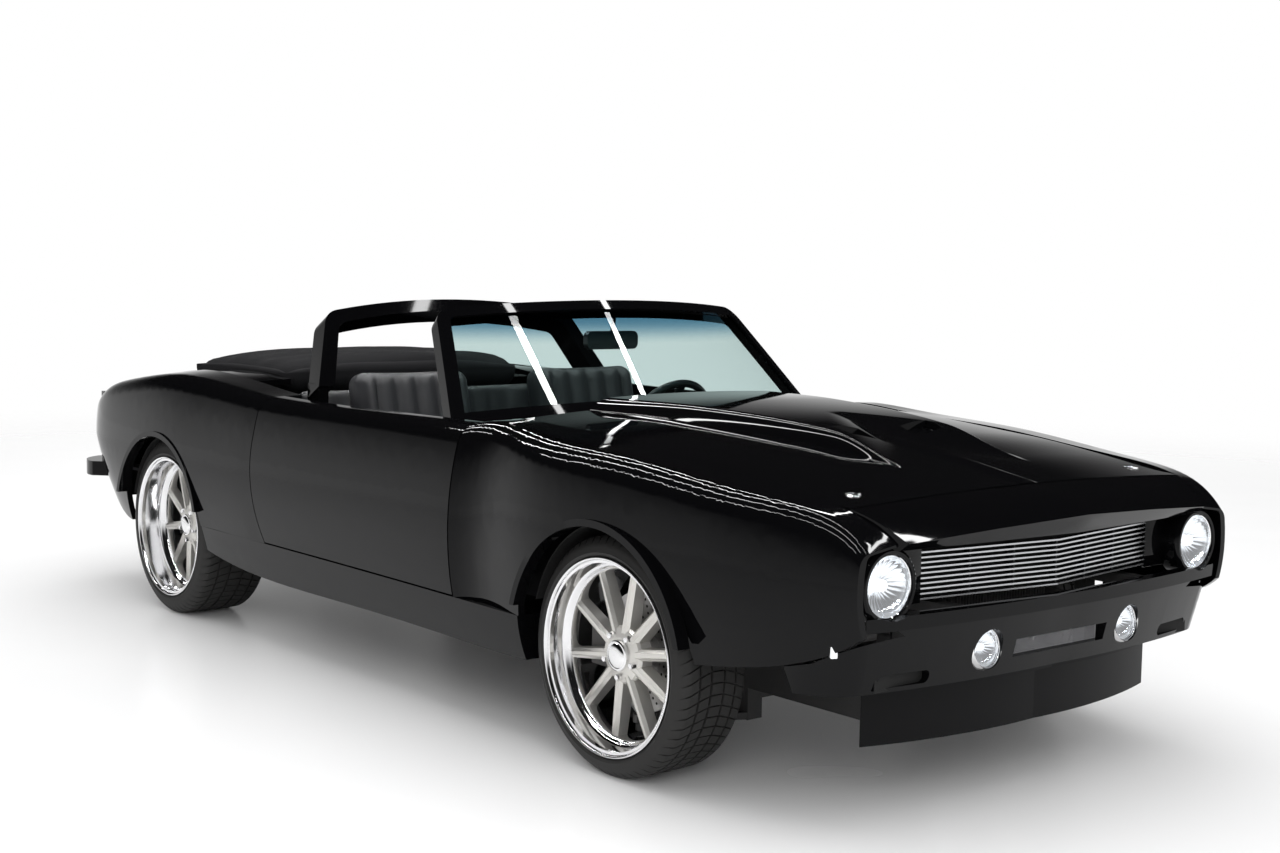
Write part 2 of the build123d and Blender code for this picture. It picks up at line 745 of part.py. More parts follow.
def front_valance():
    filled = valance_block(0)
    shell = filled - valance_block(VALANCE_WALL)
    for side in (-1, 1):
        y = side * FOG_Y
        tube = rod((FOG_X - 50, y, FOG_Z), (NOSE, y, FOG_Z), FOG_TUBE_R)
        bore = rod((FOG_X - 100, y, FOG_Z), (NOSE, y, FOG_Z), FOG_R + 0.5)
        shell = shell + (tube & filled) - bore
        slot = box((600, NOSE), sorted((side * DUCT_INNER_Y, side * DUCT_OUTER_Y)), (DUCT_Z, DUCT_Z + DUCT_HEIGHT))
        shell = shell - fillet(slot.edges().filter_by(Axis.X), DUCT_HEIGHT / 2 - 1)
    shell = shell - box((700, NOSE), (-MESH_HALF, MESH_HALF), (MESH_Z, MESH_Z + MESH_HEIGHT))
    back = VALANCE_LINE[-1][0]
    over = [((x, z),) for x, z in FENDER_FOOT_LINE[1:]]
    over += [((FENDER_FOOT_LINE[-1][0], 700),), ((back - 200, 700),)]
    shell = shell - side_prism((back - 200, FENDER_FOOT_LINE[0][1]), [(FENDER_FOOT_LINE[0],)] + over, (-1000, 1000))
    drawn_in = (BUMPER_FOOT_Z - VALANCE_FOOT_Z) * math.tan(math.radians(VALANCE_TAPER))
    return whole(shell - box((0, back + VALANCE_WALL + drawn_in + 2), (-700, 700), (0, 700)))


def valance_mesh():
    """Bars of the lower middle opening."""
    x = (MESH_X, MESH_X + 6)
    half = MESH_HALF - SEAT_GAP
    mesh = box(x, (-half, half), (MESH_Z + SEAT_GAP, MESH_Z + 4))
    rows = 4
    for i in range(1, rows + 1):
        z = MESH_Z + (MESH_HEIGHT - 4 - SEAT_GAP) * i / rows
        mesh = mesh + box(x, (-half, half), (z, z + 4))
    posts = 9
    for i in range(posts):
        y = -half + (2 * half - 4) * i / (posts - 1)
        mesh = mesh + box(x, (y, y + 4), (MESH_Z + SEAT_GAP, MESH_Z + MESH_HEIGHT - SEAT_GAP))
    return whole(mesh)


def lamp_body(radius, depth, dome):
    """Round lamp along X with its back at the origin and a domed glass."""
    profile = Face(
        closed_wire(
            at_width(0),
            (0, 0),
            ((depth + dome, 0),),
            ((depth + dome * 0.75, radius * 0.5), (depth, radius)),
            ((depth - 12, radius),),
            ((0, radius * 0.6),),
        )
    )
    return revolve(profile, Axis.X, 360)


def headlamps():
    lamp = Pos(LAMP_X - 60, LAMP_Y, LAMP_Z) * lamp_body(LAMP_R, 50, 14)
    return both_sides(whole(lamp))


def fog_lamps():
    lamp = Pos(FOG_X - 40, FOG_Y, FOG_Z) * lamp_body(FOG_R, 36, 10)
    return both_sides(whole(lamp))


def grille():
    """Thin bars that peak on the centre line, tied by upright ribs, with a lamp panel at each end."""
    slope = (GRILLE_PEAK_X - GRILLE_END_X) / GRILLE_HALF

    def front(y):
        return GRILLE_PEAK_X - slope * abs(y)

    shape = None
    for i in range(GRILLE_BARS):
        z = GRILLE_FOOT_Z + i * GRILLE_PITCH
        bar = plan_prism(
            (front(GRILLE_HALF), -GRILLE_HALF),
            [
                ((front(0), 0),),
                ((front(GRILLE_HALF), GRILLE_HALF),),
                ((front(GRILLE_HALF) - BAR_DEPTH, GRILLE_HALF),),
                ((front(0) - BAR_DEPTH, 0),),
                ((front(GRILLE_HALF) - BAR_DEPTH, -GRILLE_HALF),),
            ],
            (z, z + BAR_HEIGHT),
        )
        shape = bar if shape is None else shape + bar
    top = GRILLE_FOOT_Z + (GRILLE_BARS - 1) * GRILLE_PITCH + BAR_HEIGHT
    for y in (-300, -150, 0, 150, 300):
        shape = shape + box((front(y) - BAR_DEPTH - 8, front(y) - 6), (y - 4, y + 4), (GRILLE_FOOT_Z, top))
    for side in (-1, 1):
        end = side * GRILLE_HALF
        far = side * LAMP_PANEL_END_Y
        x = front(GRILLE_HALF)
        plate = box((x - BAR_DEPTH, x), sorted((end, far)), (MOUTH_FOOT_Z, LAMP_PANEL_TOP_Z))
        plate = plate - rod((x - 50, side * LAMP_Y, LAMP_Z), (x + 50, side * LAMP_Y, LAMP_Z), LAMP_R + 1)
        shape = shape + plate
    return whole(shape)


def air_dam():
    blade = bumper_bar(DAM_LINE, DAM_THICK, (DAM_FOOT_Z, DAM_TOP_Z))
    flange = [(x + DAM_FLANGE, y) for x, y in DAM_LINE]
    top = VALANCE_FOOT_Z - SEAT_GAP
    return whole(blade + bumper_bar(flange, DAM_FLANGE + DAM_THICK, (DAM_TOP_Z - 4, top)))


# Windshield, hoop, deck and cabin


def screen_form(inset, near, far):
    """Windshield outline bent to its bow: inset from the edge, between two depths below the outer face."""
    lean = math.radians(SCREEN_LEAN)
    climb = Vector(-math.cos(lean), 0, math.sin(lean))
    out = Vector(math.sin(lean), 0, math.cos(lean))
    base = Vector(SCREEN_BASE_X, 0, SCREEN_BASE_Z)
    sheet_plane = Plane(origin=base, x_dir=(0, 1, 0), z_dir=(out.X, out.Y, out.Z))
    sign = 1 if sheet_plane.y_dir.dot(climb) > 0 else -1

    def place(p):
        return sheet_plane.from_local_coords((p[0], sign * p[1], 0))

    b, t = SCREEN_BASE_HALF, SCREEN_TOP_HALF
    face = Face(
        closed_wire(
            place,
            (-b, SCREEN_BASE_BOW),
            ((0, 0), (b, SCREEN_BASE_BOW)),
            ((t, SCREEN_RISE + SCREEN_TOP_BOW),),
            ((0, SCREEN_RISE), (-t, SCREEN_RISE + SCREEN_TOP_BOW)),
        )
    )
    top = face.vertices().sort_by(Axis.Z)[-2:]
    face = fillet(top, SCREEN_CORNER).face()
    if inset:
        face = offset(face, amount=-inset).face()
    prism = extrude(face, amount=400, dir=(out.X, 0, out.Z), both=True)
    shell = None
    for depth, keep in ((near, True), (far, False)):
        solid = Plane(origin=base - out * SCREEN_BOW_R - climb * 200, z_dir=(climb.X, 0, climb.Z)) * Cylinder(
            SCREEN_BOW_R - depth, 1200, align=(Align.CENTER, Align.CENTER, Align.MIN)
        )
        shell = solid if keep else shell - solid
    return whole(prism & shell)


def windshield_frame():
    return whole(screen_form(0, 0, SCREEN_THICK) - screen_form(SCREEN_BAR, -100, SCREEN_THICK + 100))


def windshield_glass():
    return screen_form(SCREEN_BAR + SEAT_GAP, GLASS_INSET, GLASS_INSET + GLASS_THICK)


def rear_view_mirror():
    head = box(
        (MIRROR_X - 12, MIRROR_X + 12),
        (-MIRROR_WIDTH / 2, MIRROR_WIDTH / 2),
        (MIRROR_Z - MIRROR_HEIGHT / 2, MIRROR_Z + MIRROR_HEIGHT / 2),
    )
    head = fillet(head.edges().filter_by(Axis.X), MIRROR_HEIGHT / 3)
    return whole(head + rod((MIRROR_X, 0, MIRROR_Z), (MIRROR_X + 16, 0, MIRROR_Z + 76), 7))


def roll_hoop():
    """Hoop bar across the car behind the doors, leaning back."""
    base = Vector(HOOP_BASE_X, 0, HOOP_BASE_Z)
    top = Vector(HOOP_TOP_X, 0, HOOP_TOP_Z)
    climb = (top - base).normalized()
    scale = 1 / climb.Z

    def place(p):
        return base + Vector(0, 1, 0) * p[0] + climb * ((p[1] - HOOP_BASE_Z) * scale)

    def form(inset, low):
        face = Face(
            closed_wire(
                place,
                (-HOOP_BASE_HALF + inset, low),
                ((-HOOP_SHOULDER_HALF + inset, HOOP_SHOULDER_Z - inset),),
                ((0, HOOP_TOP_Z - inset), (HOOP_SHOULDER_HALF - inset, HOOP_SHOULDER_Z - inset)),
                ((HOOP_BASE_HALF - inset, low),),
            )
        )
        return fillet(face.vertices().sort_by(Axis.Z)[-2:], HOOP_CORNER - inset).face()

    normal = climb.cross(Vector(0, 1, 0))
    way = (normal.X, normal.Y, normal.Z)
    outer = extrude(form(0, HOOP_BASE_Z), amount=HOOP_DEPTH / 2, dir=way, both=True)
    inner = extrude(form(HOOP_BAR, HOOP_BASE_Z - 60), amount=HOOP_DEPTH, dir=way, both=True)
    hoop = outer - inner
    for side in (-1, 1):
        leg = sorted((side * HOOP_LEG_Y, side * (HOOP_LEG_Y + HOOP_BAR - 4)))
        hoop = hoop + box(HOOP_LEG_X, leg, (FLOOR_Z + FLOOR_THICK + SEAT_GAP, HOOP_BASE_Z + 30))
    return whole(hoop)


def top_boot():
    """Folded top under its cover, a low mound in the deck."""
    wires = []
    for row in BOOT_ROWS:
        shoulder = row.foot_z + (row.top_z - row.foot_z) * 0.6
        wires.append(
            closed_wire(
                at_station(row.station),
                (-row.half, row.foot_z),
                ((-row.half, shoulder),),
                ((0, row.top_z), (row.half, shoulder)),
                ((row.half, row.foot_z),),
            )
        )
    return loft_wires(wires)


def cowl_panel():
    """Panel between hood and windshield, with the posts that carry the doors."""
    front = HOOD_REAR - PANEL_GAP
    rim = [((front, COWL_HALF),), ((-900, COWL_HALF),), ((-740, 0), (-900, -COWL_HALF))]
    plate = plan_prism((front, -COWL_HALF), rim, (COWL_Z, COWL_Z + 22))
    for side in (-1, 1):
        width = sorted((side * POST_INNER_Y, side * POST_OUTER_Y))
        post = box((DOOR_FRONT + PANEL_GAP, POST_FRONT), width, (ROCKER_TOP_Z + SEAT_GAP, POST_TOP_Z))
        neck = sorted((side * POST_INNER_Y, side * COWL_HALF))
        plate = plate + post + box((DOOR_FRONT + PANEL_GAP, front), neck, (POST_TOP_Z - 5, COWL_Z + 5))
    return whole(plate - screen_form(-1, -200, SCREEN_THICK + 1))


def dashboard():
    """Dash across the cabin with the steering column."""
    dash = side_prism(
        (-700, 843),
        [((-820, 855.5), (-940, 846)), ((-1000, 780),), ((-980, 690),), ((-820, 620),), ((-700, 700),)],
        (-DASH_HALF, DASH_HALF),
    )
    return whole(dash + column_rod(COLUMN_R, 28))


def steering_axis():
    """Unit vector from the steering wheel down its column."""
    tilt = math.radians(STEERING_TILT)
    return Vector(math.cos(tilt), 0, -math.sin(tilt))


def column_rod(radius, start):
    hub = Vector(STEERING_WHEEL_X, STEERING_WHEEL_Y, STEERING_WHEEL_Z)
    way = steering_axis()
    a = hub + way * start
    b = hub + way * 640
    return rod((a.X, a.Y, a.Z), (b.X, b.Y, b.Z), radius)


def steering_wheel():
    hub = Vector(STEERING_WHEEL_X, STEERING_WHEEL_Y, STEERING_WHEEL_Z)
    way = steering_axis()
    plane = Plane(origin=hub, x_dir=(0, 1, 0), z_dir=(way.X, way.Y, way.Z))
    wheel = Torus(STEERING_WHEEL_R, STEERING_RIM_R)
    wheel = wheel + Cylinder(46, 44, align=(Align.CENTER, Align.CENTER, Align.CENTER))
    for angle in (0, 90, 180):
        wheel = wheel + Rot(0, 0, angle) * Pos(STEERING_WHEEL_R / 2, 0, 0) * Box(STEERING_WHEEL_R, 36, 8)
    return whole(plane * wheel)


def front_seats():
    cushion = box((SEAT_REAR, SEAT_FRONT), (-SEAT_HALF, SEAT_HALF), (SEAT_TOP_Z - 170, SEAT_TOP_Z))
    cushion = fillet(cushion.edges().filter_by(Axis.Y), 50)
    back = side_prism(
        (SEAT_REAR + 110, SEAT_TOP_Z - 120),
        [
            ((SEAT_REAR + 110 - SEAT_BACK_LEAN, SEAT_BACK_Z),),
            ((SEAT_REAR - SEAT_BACK_LEAN, SEAT_BACK_Z),),
            ((SEAT_REAR, SEAT_TOP_Z - 120),),
        ],
        (-SEAT_HALF, SEAT_HALF),
    )
    back = fillet(back.edges().group_by(Axis.Z)[-1], 45)
    foot = box((SEAT_REAR + 60, SEAT_FRONT - 60), (-SEAT_HALF + 50, SEAT_HALF - 50), (FLOOR_Z + FLOOR_THICK, SEAT_TOP_Z - 165))
    return both_sides(Pos(0, SEAT_Y, 0) * whole(cushion + back + foot))


def rear_seat():
    bench = side_prism(
        (BENCH_FRONT, BENCH_FOOT_Z),
        [
            ((BENCH_FRONT + 5, BENCH_TOP_Z),),
            ((BENCH_FRONT - 120, BENCH_TOP_Z + 25), (BENCH_FRONT - 280, BENCH_TOP_Z)),
            ((BENCH_FRONT - 370, BENCH_BACK_Z),),
            ((BENCH_FRONT - 442, BENCH_BACK_Z),),
            ((BENCH_FRONT - 400, PAN_Z + 60),),
            ((BENCH_FRONT - 310, BENCH_FOOT_Z),),
        ],
        (-BENCH_HALF, BENCH_HALF),
    )
    past = (BENCH_FRONT - 500, BENCH_FRONT + 100)
    return whole(bench - box(past, (-TUNNEL_HALF, TUNNEL_HALF), (0, BENCH_FOOT_Z + 24)))


def floor_pan():
    """Firewall, floor with its tunnel, seat pan and trunk floor in one pressed line."""
    line = [
        (FIREWALL_X, FIREWALL_TOP_Z),
        (FIREWALL_X, TOE_Z),
        (TOE_X, FLOOR_Z),
        (HEEL_X, FLOOR_Z),
        (PAN_X + 100, PAN_Z),
        (PAN_X - 100, PAN_Z),
        (TRUNK_X, TRUNK_Z),
        (TRUNK_END, TRUNK_Z),
    ]
    t = FLOOR_THICK
    upper = [
        (FIREWALL_X - t, FIREWALL_TOP_Z),
        (FIREWALL_X - t, TOE_Z),
        (TOE_X - 3, FLOOR_Z + t),
        (HEEL_X + t, FLOOR_Z + t),
        (PAN_X + 100 + t, PAN_Z + t),
        (PAN_X - 98, PAN_Z + t),
        (TRUNK_X + 2, TRUNK_Z + t),
        (TRUNK_END, TRUNK_Z + t),
    ]
    moves = [(p,) for p in line[1:]] + [(p,) for p in reversed(upper)]
    pan = side_prism(line[0], moves, (-FLOOR_HALF, FLOOR_HALF))

    def tunnel(inset, ends):
        wires = []
        for station, drop in ends:
            top = TUNNEL_Z - inset - drop
            wires.append(
                closed_wire(
                    at_station(station),
                    (-TUNNEL_HALF + inset, FLOOR_Z - (40 if inset else 0)),
                    ((-TUNNEL_TOP_HALF + inset, top),),
                    ((TUNNEL_TOP_HALF - inset, top),),
                    ((TUNNEL_HALF - inset, FLOOR_Z - (40 if inset else 0)),),
                )
            )
        return loft_wires(wires, ruled=True)

    pan = pan + tunnel(0, ((FIREWALL_X, 0), (HEEL_X, 60)))
    pan = pan - tunnel(t, ((FIREWALL_X + 100, 0), (PAN_X - 60, 60)))
    for side in (-1, 1):
        well = sorted((side * (REAR_WELL_Y - 8), side * 1000))
        pan = pan - disc_y(REAR_ARCH_R + WELL_WALL + 3, well, -WHEELBASE, REAR_HUB_Z)
    pan = pan - column_rod(COLUMN_R + 8, 0)
    return whole(pan)


def wheel_well(axle_x, hub_z, radius, inner_y, end_y, low_z, window_z):
    """Sheet well over a wheel with its upright inner wall."""
    outer = disc_y(radius + WELL_WALL, (inner_y - WELL_WALL, end_y), axle_x, hub_z)
    well = outer - disc_y(radius, (inner_y, end_y + 50), axle_x, hub_z)
    well = well - box((axle_x - 600, axle_x + 600), (0, 1000), (-500, low_z))
    window = box((axle_x - 130, axle_x + 130), (inner_y - 20, inner_y + 1), (0, window_z))
    return both_sides(whole(well - window))


def front_wells():
    return wheel_well(0, FRONT_HUB_Z, FRONT_ARCH_R, FRONT_WELL_Y, FRONT_WELL_END_Y, FRONT_WELL_Z, ARM_WINDOW_Z)


def rear_tubs():
    return wheel_well(-WHEELBASE, REAR_HUB_Z, REAR_ARCH_R, REAR_WELL_Y, REAR_WELL_END_Y, REAR_WELL_Z, REAR_WELL_Z)


def front_subframe():
    """Two rails with their cross member, engine pads, arm brackets and bumper irons."""
    frame = box((-90, 90), (-RAIL_Y, RAIL_Y), (RAIL_Z - 35, RAIL_Z + 25))
    start, moves = mirrored_moves([(x - BUMPER_WALL - SEAT_GAP, y - BUMPER_WALL if y else 0) for x, y in BUMPER_LINE])
    reach = plan_prism(start, moves + [((0, BUMPER_LINE[-1][1]),), ((0, -BUMPER_LINE[-1][1]),)], (0, NOSE))
    for side in (-1, 1):
        rail = sorted((side * (RAIL_Y - RAIL_WIDTH / 2), side * (RAIL_Y + RAIL_WIDTH / 2)))
        frame = frame + box((RAIL_REAR, RAIL_FRONT), rail, (RAIL_Z, RAIL_Z + RAIL_HEIGHT))
        tower = sorted((side * TOWER_Y, side * (RAIL_Y + RAIL_WIDTH / 2)))
        frame = frame + box((-60, 60), tower, (RAIL_Z + RAIL_HEIGHT - 5, TOWER_Z))
        bracket = sorted((side * (RAIL_Y - 10), side * (RAIL_Y + RAIL_WIDTH / 2)))
        frame = frame + box((-90, 90), bracket, (ARM_BRACKET_Z, RAIL_Z + 5))
        iron = sorted((side * (RAIL_Y - 20), side * (RAIL_Y + 20)))
        frame = frame + box((RAIL_FRONT - 40, RAIL_FRONT), iron, (RAIL_Z, BUMPER_TOP_Z - 4))
        frame = frame + (box((RAIL_FRONT - 5, NOSE), iron, (BUMPER_FOOT_Z, BUMPER_TOP_Z - 4)) & reach)
        pad = sorted((side * 150, side * 230))
        frame = frame + box((-50, 50), pad, (RAIL_Z, ENGINE_Z - SEAT_GAP))
    return whole(frame)


def engine_block():
    return box((ENGINE_FRONT - ENGINE_LENGTH, ENGINE_FRONT), (-ENGINE_HALF, ENGINE_HALF), (ENGINE_Z, ENGINE_TOP_Z))


def driveline():
    """Gearbox and propeller shaft."""
    back = ENGINE_FRONT - ENGINE_LENGTH - SEAT_GAP
    box_end = back - 640
    line = rod((back, 0, SHAFT_Z), (box_end, 0, SHAFT_Z), 108, 66)
    line = line + rod((box_end + 5, 0, SHAFT_Z), (-WHEELBASE + 208 + 2, 0, REAR_HUB_Z), 36)
    return whole(line)


def rear_axle():
    """Axle housing with the spindles and the brake calipers."""
    z = REAR_HUB_Z
    x = -WHEELBASE
    disc_face = LIP_PLANE_Y - REAR_WHEEL.dish - SPOKE_DEPTH - DISC_BEHIND_SPOKES
    end = disc_face - DISC_THICK - 7
    axle = disc_y(40, (-end, end), x, z)
    axle = axle + disc_y(SPINDLE_R, (-disc_face - 44, disc_face + 44), x, z)
    axle = axle + Pos(x, 0, z) * Sphere(128)
    axle = axle + rod((x, 0, z), (x + 208, 0, z), 90, 55)
    for side in (-1, 1):
        axle = axle + caliper(x, side, z, disc_face)
        arm = sorted((side * (end - 26), side * (end - 2)))
        axle = axle + box((x - DISC_R - 20, x), arm, (z - 24, z + 24))
    return whole(axle)


def caliper(x, side, z, disc_face):
    """Brake caliper behind the axle line, straddling a disc with its outer face at a width."""
    near = disc_face - DISC_THICK - 5 - 22
    far = disc_face + 24
    block = box((x - DISC_R - 26, x - 100), sorted((side * near, side * far)), (z - 62, z + 62))
    slot = disc_y(DISC_R + 6, sorted((side * (disc_face - DISC_THICK - 5), side * (disc_face + 5))), x, z)
    limit = disc_y(RIM_BARREL_R - 14, sorted((side * (near - 50), side * (far + 50))), x, z)
    return (block - slot) & limit


def leaf_springs():
    """Leaf spring on each side under the axle, with its seat."""
    t = SPRING_THICK
    x = -WHEELBASE
    seat = REAR_HUB_Z - 40 - 18
    spring = side_prism(
        (x + 560, 318),
        [((x, seat), (x - 640, 348)), ((x - 640, 348 - t),), ((x, seat - t), (x + 560, 318 - t))],
        (SPRING_Y - SPRING_WIDTH / 2, SPRING_Y + SPRING_WIDTH / 2),
    )
    pad = box((x - 45, x + 45), (SPRING_Y - SPRING_WIDTH / 2, SPRING_Y + SPRING_WIDTH / 2), (seat - t / 2, REAR_HUB_Z))
    pad = pad - disc_y(40 + SEAT_GAP, (0, 1000), x, REAR_HUB_Z)
    hanger = box((x + 530, x + 560), (SPRING_Y - 20, SPRING_Y + 20), (300, PAN_Z - SEAT_GAP))
    shackle = box((x - 640, x - 610), (SPRING_Y - 20, SPRING_Y + 20), (330, TRUNK_Z - SEAT_GAP))
    return both_sides(whole(spring + pad + hanger + shackle))


def control_arms():
    """Upper and lower suspension arms of the front wheels, out to their ball joints."""
    arms = []
    start = RAIL_Y + RAIL_WIDTH / 2 + SEAT_GAP
    for rise, root, thick in ((-1, 88, 20), (1, 58, 18)):
        z = FRONT_HUB_Z + rise * (BALL_RISE + BALL_R + 5 + thick / 2)
        arm = plan_prism(
            (-root, start),
            [
                ((root, start),),
                ((ARM_NECK, ARM_NECK_Y),),
                ((ARM_NECK, KINGPIN_Y - ARM_NECK),),
                ((0, KINGPIN_Y), (-ARM_NECK, KINGPIN_Y - ARM_NECK)),
                ((-ARM_NECK, ARM_NECK_Y),),
            ],
            (z - thick / 2, z + thick / 2),
        )
        arms.append(arm)
    solids = [s for a in arms for s in a.solids()]
    mirrored = [s for a in arms for s in mirror(a, about=Plane.XZ).solids()]
    return Compound(solids + mirrored)


def knuckle():
    """Left steering knuckle with its spindle, ball pins and brake caliper."""
    disc_face = LIP_PLANE_Y - FRONT_WHEEL.dish - SPOKE_DEPTH - DISC_BEHIND_SPOKES
    z = FRONT_HUB_Z
    post = box((-24, 24), (KNUCKLE_INNER_Y, KNUCKLE_OUTER_Y), (z - BALL_RISE - BALL_R, z + BALL_RISE + BALL_R))
    body = post + disc_y(SPINDLE_R, (KNUCKLE_INNER_Y, disc_face + 44), 0, z)
    body = body + disc_y(60, (KNUCKLE_INNER_Y, KNUCKLE_OUTER_Y), 0, z)
    for rise in (-1, 1):
        level = z + rise * BALL_RISE
        lug = box((-18, 18), (KNUCKLE_INNER_Y, KINGPIN_Y), (level - BALL_R, level + BALL_R))
        body = body + lug
        body = body + Pos(0, KINGPIN_Y, level) * Cylinder(BALL_R, 2 * BALL_R)
    body = body + caliper(0, 1, z, disc_face)
    body = body + box((-130, 0), (KNUCKLE_INNER_Y, KNUCKLE_OUTER_Y - 6), (z - 30, z + 30))
    return whole(body)


def exhaust():
    """Two pipes with their mufflers."""
    pipe = rod((-120, PIPE_Y, 330), (-560, PIPE_Y, PIPE_Z), PIPE_R)
    pipe = pipe + Pos(-560, PIPE_Y, PIPE_Z) * Sphere(PIPE_R)
    pipe = pipe + rod((-560, PIPE_Y, PIPE_Z), (TAIL + 133, PIPE_Y, PIPE_Z), PIPE_R)
    muffler = box((-2050, -1500), (PIPE_Y - 95, PIPE_Y + 95), (PIPE_Z - 42, PIPE_Z + 42))
    muffler = fillet(muffler.edges().filter_by(Axis.X), 30)
    return both_sides(whole(pipe + muffler))


def fuel_tank():
    tank = box(TANK_X, (-TANK_HALF, TANK_HALF), TANK_Z)
    return fillet(tank.edges().filter_by(Axis.Y), 30)


def rear_valance():
    return bumper_bar(REAR_VALANCE_LINE, REAR_VALANCE_WALL, (REAR_VALANCE_FOOT_Z, REAR_VALANCE_TOP_Z))


# Wheels


def ring_of(points):
    """Solid of revolution about Y from (radius, width) points."""
    return revolve(Face(closed_wire(lambda p: (p[0], p[1], 0), points[0], *[(p,) for p in points[1:]])), Axis.Y, 360)


def tyre(size):
    """Low-profile tyre about the origin, its outer side at positive Y."""
    half = size.width / 2
    r = size.tyre_r
    bead = half - RIM_FLANGE - SEAT_GAP - 1
    crown = half * 0.77
    seat = RIM_SEAT_R + SEAT_GAP
    profile = [
        (seat, bead),
        (RIM_LIP_R + 1, bead),
        (RIM_LIP_R + 3, half - 3),
        (RIM_LIP_R + 20, half - 1),
        (r - 20, half - 8),
        (r - 6, crown + 10),
        (r, crown - 6),
    ]
    inner = [(r - 14, crown - 16), (RIM_LIP_R + 8, half - 16), (seat, bead - 18)]
    outer = profile + [(a, -b) for a, b in reversed(profile)]
    hollow = [(a, -b) for a, b in inner[::-1]]
    return ring_of(outer + hollow + inner)


def wheel(size):
    """Ten-spoke rim about the origin with its hub, lug holes, cap and brake disc."""
    half = size.width / 2
    face = half - size.dish
    seat = half - RIM_FLANGE
    barrel = [
        (RIM_LIP_R, half),
        (RIM_LIP_R, half - 6),
        (RIM_SEAT_R, seat),
        (RIM_SEAT_R, seat - 24),
        (RIM_SEAT_R - 10, seat - 36),
        (RIM_SEAT_R - 10, -seat + 36),
        (RIM_SEAT_R, -seat + 24),
        (RIM_SEAT_R, -seat),
        (RIM_LIP_R, -half + 6),
        (RIM_LIP_R, -half),
        (RIM_LIP_R - 7, -half),
        (RIM_BARREL_R, -half + 26),
        (RIM_BARREL_R, face),
        (RIM_BARREL_R + 6, face + 14),
        (RIM_LIP_R - 10, half - 10),
        (RIM_LIP_R - 6, half),
    ]
    shape = ring_of(barrel)
    hub = ring_of([(0, face - SPOKE_DEPTH), (HUB_R, face - SPOKE_DEPTH), (HUB_R, face - 4), (HUB_R - 14, face + 6), (0, face + 6)])
    w = SPOKE_WIDTH / 2
    wires = []
    for r, front in ((HUB_R - 40, face + 4), (RIM_BARREL_R + 3, face)):
        section = [(w, front - SPOKE_BEVEL), (w - SPOKE_BEVEL, front), (SPOKE_BEVEL - w, front), (-w, front - SPOKE_BEVEL)]
        section.append((-w, face - SPOKE_DEPTH))
        wires.append(closed_wire(lambda p: (r, p[1], p[0]), (w, face - SPOKE_DEPTH), *[(p,) for p in section]))
    spoke = loft_wires(wires, ruled=True)
    for i in range(SPOKES):
        hub = hub + Rot(0, 360 * i / SPOKES, 0) * spoke
    shape = shape + hub
    cap = ring_of([(0, face), (CAP_R, face), (CAP_R, face + HUB_RISE), (CAP_R * 0.6, face + HUB_RISE + 10), (0, face + HUB_RISE + CAP_RISE)])
    shape = shape + cap
    back = face - SPOKE_DEPTH
    disc = back - DISC_BEHIND_SPOKES
    rotor = [(HUB_R - 24, back + 2), (HUB_R, back + 2), (HUB_R, disc), (DISC_R, disc), (DISC_R, disc - DISC_THICK), (HUB_R - 24, disc - DISC_THICK)]
    shape = shape + ring_of(rotor)
    shape = shape - disc_y(HUB_BORE_R, (back - 100, back + 20))
    for i in range(LUGS):
        angle = 2 * math.pi * (i + 0.5) / LUGS
        x, z = LUG_CIRCLE_R * math.sin(angle), LUG_CIRCLE_R * math.cos(angle)
        shape = shape - disc_y(LUG_HOLE_R, (face - 14, face + 60), x, z)
    return whole(shape)


def wheel_place(size, axle_x, side):
    """Place of a wheel made about the origin, turned round for the right side."""
    return Pos(axle_x, side * (LIP_PLANE_Y - size.width / 2), size.tyre_r) * Rot(0, WHEEL_TURN, 0 if side > 0 else 180)


def pieces():
    """Every piece of the car by name."""
    left_door = door()
    left_knuckle = knuckle()
    made = {
        "floor_pan": floor_pan(),
        "front_subframe": front_subframe(),
        "engine_block": engine_block(),
        "driveline": driveline(),
        "rear_axle": rear_axle(),
        "leaf_springs": leaf_springs(),
        "control_arms": control_arms(),
        "exhaust": exhaust(),
        "fuel_tank": fuel_tank(),
        "front_fenders": front_fenders(),
        "header_panel": header_panel(),
        "grille": grille(),
        "headlamps": headlamps(),
        "front_bumper": front_bumper(),
        "front_valance": front_valance(),
        "fog_lamps": fog_lamps(),
        "valance_mesh": valance_mesh(),
        "air_dam": air_dam(),
        "cowl_panel": cowl_panel(),
        "windshield_frame": windshield_frame(),
        "windshield_glass": windshield_glass(),
        "rear_view_mirror": rear_view_mirror(),
        "roll_hoop": roll_hoop(),
        "quarter_panels": quarter_panels(),
        "rocker_panels": rocker_panels(),
        "rear_deck": rear_deck(),
        "tail_panel": tail_panel(),
        "tail_lamps": tail_lamps(),
        "rear_bumper": rear_bumper(),
        "rear_valance": rear_valance(),
        "top_boot": top_boot(),
        "dashboard": dashboard(),
        "front_seats": front_seats(),
        "rear_seat": rear_seat(),
        "front_wells": front_wells(),
        "rear_tubs": rear_tubs(),
        "steering_wheel": steering_wheel(),
        "door_left": left_door,
        "door_right": mirror(left_door, about=Plane.XZ),
        "hood": hood(),
        "trunk_lid": trunk_lid(),
        "knuckle_left": left_knuckle,
        "knuckle_right": mirror(left_knuckle, about=Plane.XZ),
    }
    for end, size, axle_x in (("front", FRONT_WHEEL, 0), ("rear", REAR_WHEEL, -WHEELBASE)):
        one_wheel = wheel(size)
        one_tyre = tyre(size)
        for name, side in (("left", 1), ("right", -1)):
            place = wheel_place(size, axle_x, side)
            made[f"wheel_{end}_{name}"] = place * one_wheel
            made[f"tyre_{end}_{name}"] = place * one_tyre
    return made


